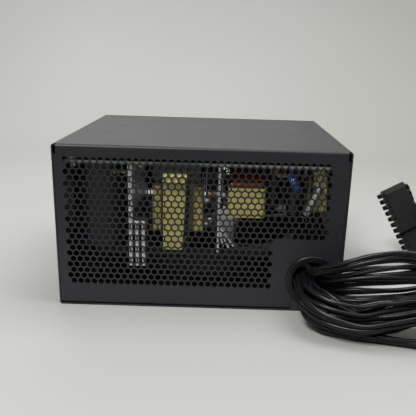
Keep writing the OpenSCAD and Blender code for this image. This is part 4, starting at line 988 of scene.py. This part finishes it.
new_piece("coil_ends", *sweep_tubes(coil_line[None], 0.85 * MM), "enamelled_copper", COPPER)
print("cut", 1 + len(edges), "slabs")

# %% [markdown]
# ## Marks on the rocker
#
# A rocker switch carries a bar for on and a ring for off, printed in white. Both
# halves of its face slope towards the middle, so each mark is laid out flat and then
# set on its own half. The marks ride on the rocker and tilt with it.

# %% Print the marks
ROCKER_TILT = math.radians(9)
# How far out and up from the axle one half of the face begins and ends.
HALF_FACE = mm([[5.8, 0], [7.4, 7.1]])
MAINS_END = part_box("mains_end_wall")[1][1]
ROCKER_MIDDLE = np.mean(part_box("switch_rocker"), axis=0)
HOUSING_MIDDLE = np.mean(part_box("switch_housing"), axis=0)
ROCKER_AXLE = np.array([ROCKER_MIDDLE[0], MAINS_END - 5 * MM, HOUSING_MIDDLE[2]])


def on_rocker(flat, side):
    """Points of a flat drawing (across, along the half, out of it) set on the rocker:
    along the sloping half at first, then turned with the rocker about its axle."""
    slope = unit(HALF_FACE[1] - HALF_FACE[0])
    middle = HALF_FACE.mean(axis=0)
    depth = middle[0] + flat[:, 1] * slope[0] + flat[:, 2] * slope[1]
    rise = side * (middle[1] + flat[:, 1] * slope[1] - flat[:, 2] * slope[0])
    cos, sin = math.cos(ROCKER_TILT), math.sin(ROCKER_TILT)
    turned_depth, turned_rise = depth * cos - rise * sin, depth * sin + rise * cos
    return ROCKER_AXLE + np.column_stack([flat[:, 0], turned_depth, turned_rise])


def ring_mark(outer, inner, thick, sides=32):
    """A flat ring as a closed grid: four corners of its section at each angle."""
    section = np.array([[inner, 0], [inner, thick], [outer, thick], [outer, 0]])
    faces = grid_faces(len(section), sides, round_rows=True, round_columns=True)
    return revolved(section, sides), faces[:, ::-1].tolist()


MARK_T = 0.05 * MM
BAR_HALF = (0.35 * MM, 2 * MM, MARK_T)
bar = np.array([[x, y, z] for z in (-1, 1) for y in (-1, 1) for x in (-1, 1)]) * BAR_HALF
bar_faces = [[1, 3, 2, 0], [6, 7, 5, 4], [4, 5, 1, 0], [3, 7, 6, 2], [2, 6, 4, 0], [5, 7, 3, 1]]
ring, ring_faces = ring_mark(1.9 * MM, 1.3 * MM, MARK_T)
for name, flat, faces, side in (("on_mark", bar, bar_faces, 1), ("off_mark", ring, ring_faces, -1)):
    new_piece(name, on_rocker(flat, side), faces, "inlet_plastic", WHITE_INK, "rocker", smooth=False)
print("rocker marked")

# %% [markdown]
# ## Dressing the solids
#
# The shapes that the CAD model already has right only need their finish. A table of
# names keeps the choice in one place.

# %% Give every solid its finish
DRESS = {
    STEEL: ["tray", "cable_end_wall", "mains_end_wall", "fan_cover"],
    BLACK_OXIDE: ["cover_screws", "fan_screws", "inlet_screws"],
    RUBBER: ["cable_bushing"],
    FAN_PLASTIC: ["fan_frame", "fan_rotor"],
    PLATED_WIRE: ["fan_guard", "board_screws", "device_screws"],
    BRONZE: ["fan_bearing"],
    LAMINATION: ["fan_stator"],
    BOARD: ["main_board", "control_board"],
    BRASS: ["board_standoffs"],
    FILM: ["insulation_sheet"],
    GLOSS_PLASTIC: ["ac_inlet", "switch_housing", "switch_rocker"],
    CONTACTS: ["inlet_pins"],
    SLEEVE: ["bulk_capacitor", "output_capacitors"],
    SHADED_SINK: ["primary_heatsink"],
    ALUMINIUM: ["secondary_heatsink", "leaning_capacitor"],
    EPOXY_BLACK: ["primary_transistors", "output_rectifiers", "bridge_rectifier", "transformer_bobbins"],
    YELLOW_TAPE: ["transformer_core", "transformer_winding", "inductor_tape", "standby_transformer"],
    COPPER: ["inductor_coil", "pfc_choke", "filter_choke"],
    BLUE_DIP: ["disc_capacitor"],
    YELLOW_BOX: ["line_capacitor"],
    VINYL: ["board_leads"],
    NYLON: ["cable_ties", "main_latch", "cpu_latch", "graphics_latch", "sata_plug", "drive_plug"],
}
for finish, names in DRESS.items():
    for name in names:
        for place in nodes[name].material_slots:
            place.material = finish
print("dressed", sum(len(names) for names in DRESS.values()), "solids")

# %% [markdown]
# ## The studio
#
# A pale sheet lies on the table and rises behind the object in one curve, so there
# is no hard horizon. A large soft lamp hangs high on the right and throws a soft
# shadow to the left, and a smaller one high on the left in front shines in through
# the grille. A weak one from behind draws the far edges. The world adds a little light
# from all round, and shows itself brighter to the camera than it is, so that the
# surroundings stay pale where the sheet ends.


# %% Build the studio
def backdrop():
    """A sheet swept along X: flat on the table, then a quarter circle, then upright.
    Painted shade makes it a little darker far back on the right."""
    front, bend_y, bend_r, top, half_width = -1.6, 0.42, 0.30, 1.6, 2.2
    a = np.linspace(0, np.pi / 2, 17)
    bend = np.stack([bend_y + bend_r * np.sin(a), bend_r * (1 - np.cos(a))], axis=1)
    profile = np.vstack([[[front, 0]], bend, [[bend_y + bend_r, top]]])
    x = np.linspace(-half_width, half_width, 5)
    points = np.concatenate([np.repeat(x[:, None], len(profile), 1)[..., None],
                             np.broadcast_to(profile, (len(x), *profile.shape))], axis=2)
    paper = Finish("pale_sheet", (0.35, 0.35, 0.336), 0.7, specular_ior_level=0.3)
    cloud = paper.noise(0.25, 2.0)
    # Painted shade: the sheet turns darker far back on the right.
    shade = paper.axis("x").above(0.22, 0.45) * paper.axis("y").above(0.15, 0.25)
    plain = paper.mix(cloud, (0.335, 0.335, 0.322), (0.365, 0.365, 0.351))
    paper.set(base_color=paper.mix(shade, plain, (0.27, 0.267, 0.25)))
    faces = grid_faces(len(x), len(profile)).tolist()
    add_mesh("backdrop", points, faces, paper.material)


def soft_lamp(name, place, target, size, power):
    """A square lamp at place that faces target: its -Z axis points at it."""
    lamp = bpy.data.lights.new(name, "AREA")
    lamp.size = size
    lamp.energy = power
    holder = bpy.data.objects.new(name, lamp)
    holder.location = place
    away = np.array(place) - np.array(target)
    turn = math.atan2(away[1], away[0]) + math.pi / 2
    holder.rotation_euler = (math.acos(away[2] / np.linalg.norm(away)), 0, turn)
    bpy.context.scene.collection.objects.link(holder)


ROOM_LIGHT = 0.17
EXTRA_TO_CAMERA = 0.4
backdrop()
soft_lamp("top_lamp", (0.5, 0.05, 1.25), (0.05, 0.05, 0), 1.0, 15.5)
soft_lamp("fill_lamp", (-0.45, -0.9, 1.25), (0, 0, 0.04), 0.5, 25)
soft_lamp("back_lamp", (-0.1, 0.6, 0.56), (0, 0, 0.09), 0.6, 2)
world = bpy.data.worlds.new("studio")
world.use_nodes = True
tree = world.node_tree
background = tree.nodes["Background"]
background.inputs["Color"].default_value = (1.0, 1.0, 0.985, 1.0)
seen = tree.nodes.new("ShaderNodeLightPath").outputs["Is Camera Ray"]
level = tree.nodes.new("ShaderNodeMath")
level.operation = "MULTIPLY_ADD"
level.inputs[1].default_value = EXTRA_TO_CAMERA
level.inputs[2].default_value = ROOM_LIGHT
tree.links.new(seen, level.inputs[0])
tree.links.new(level.outputs[0], background.inputs["Strength"])
bpy.context.scene.world = world
bpy.context.scene.view_settings.view_transform = "Standard"
print("studio ready")
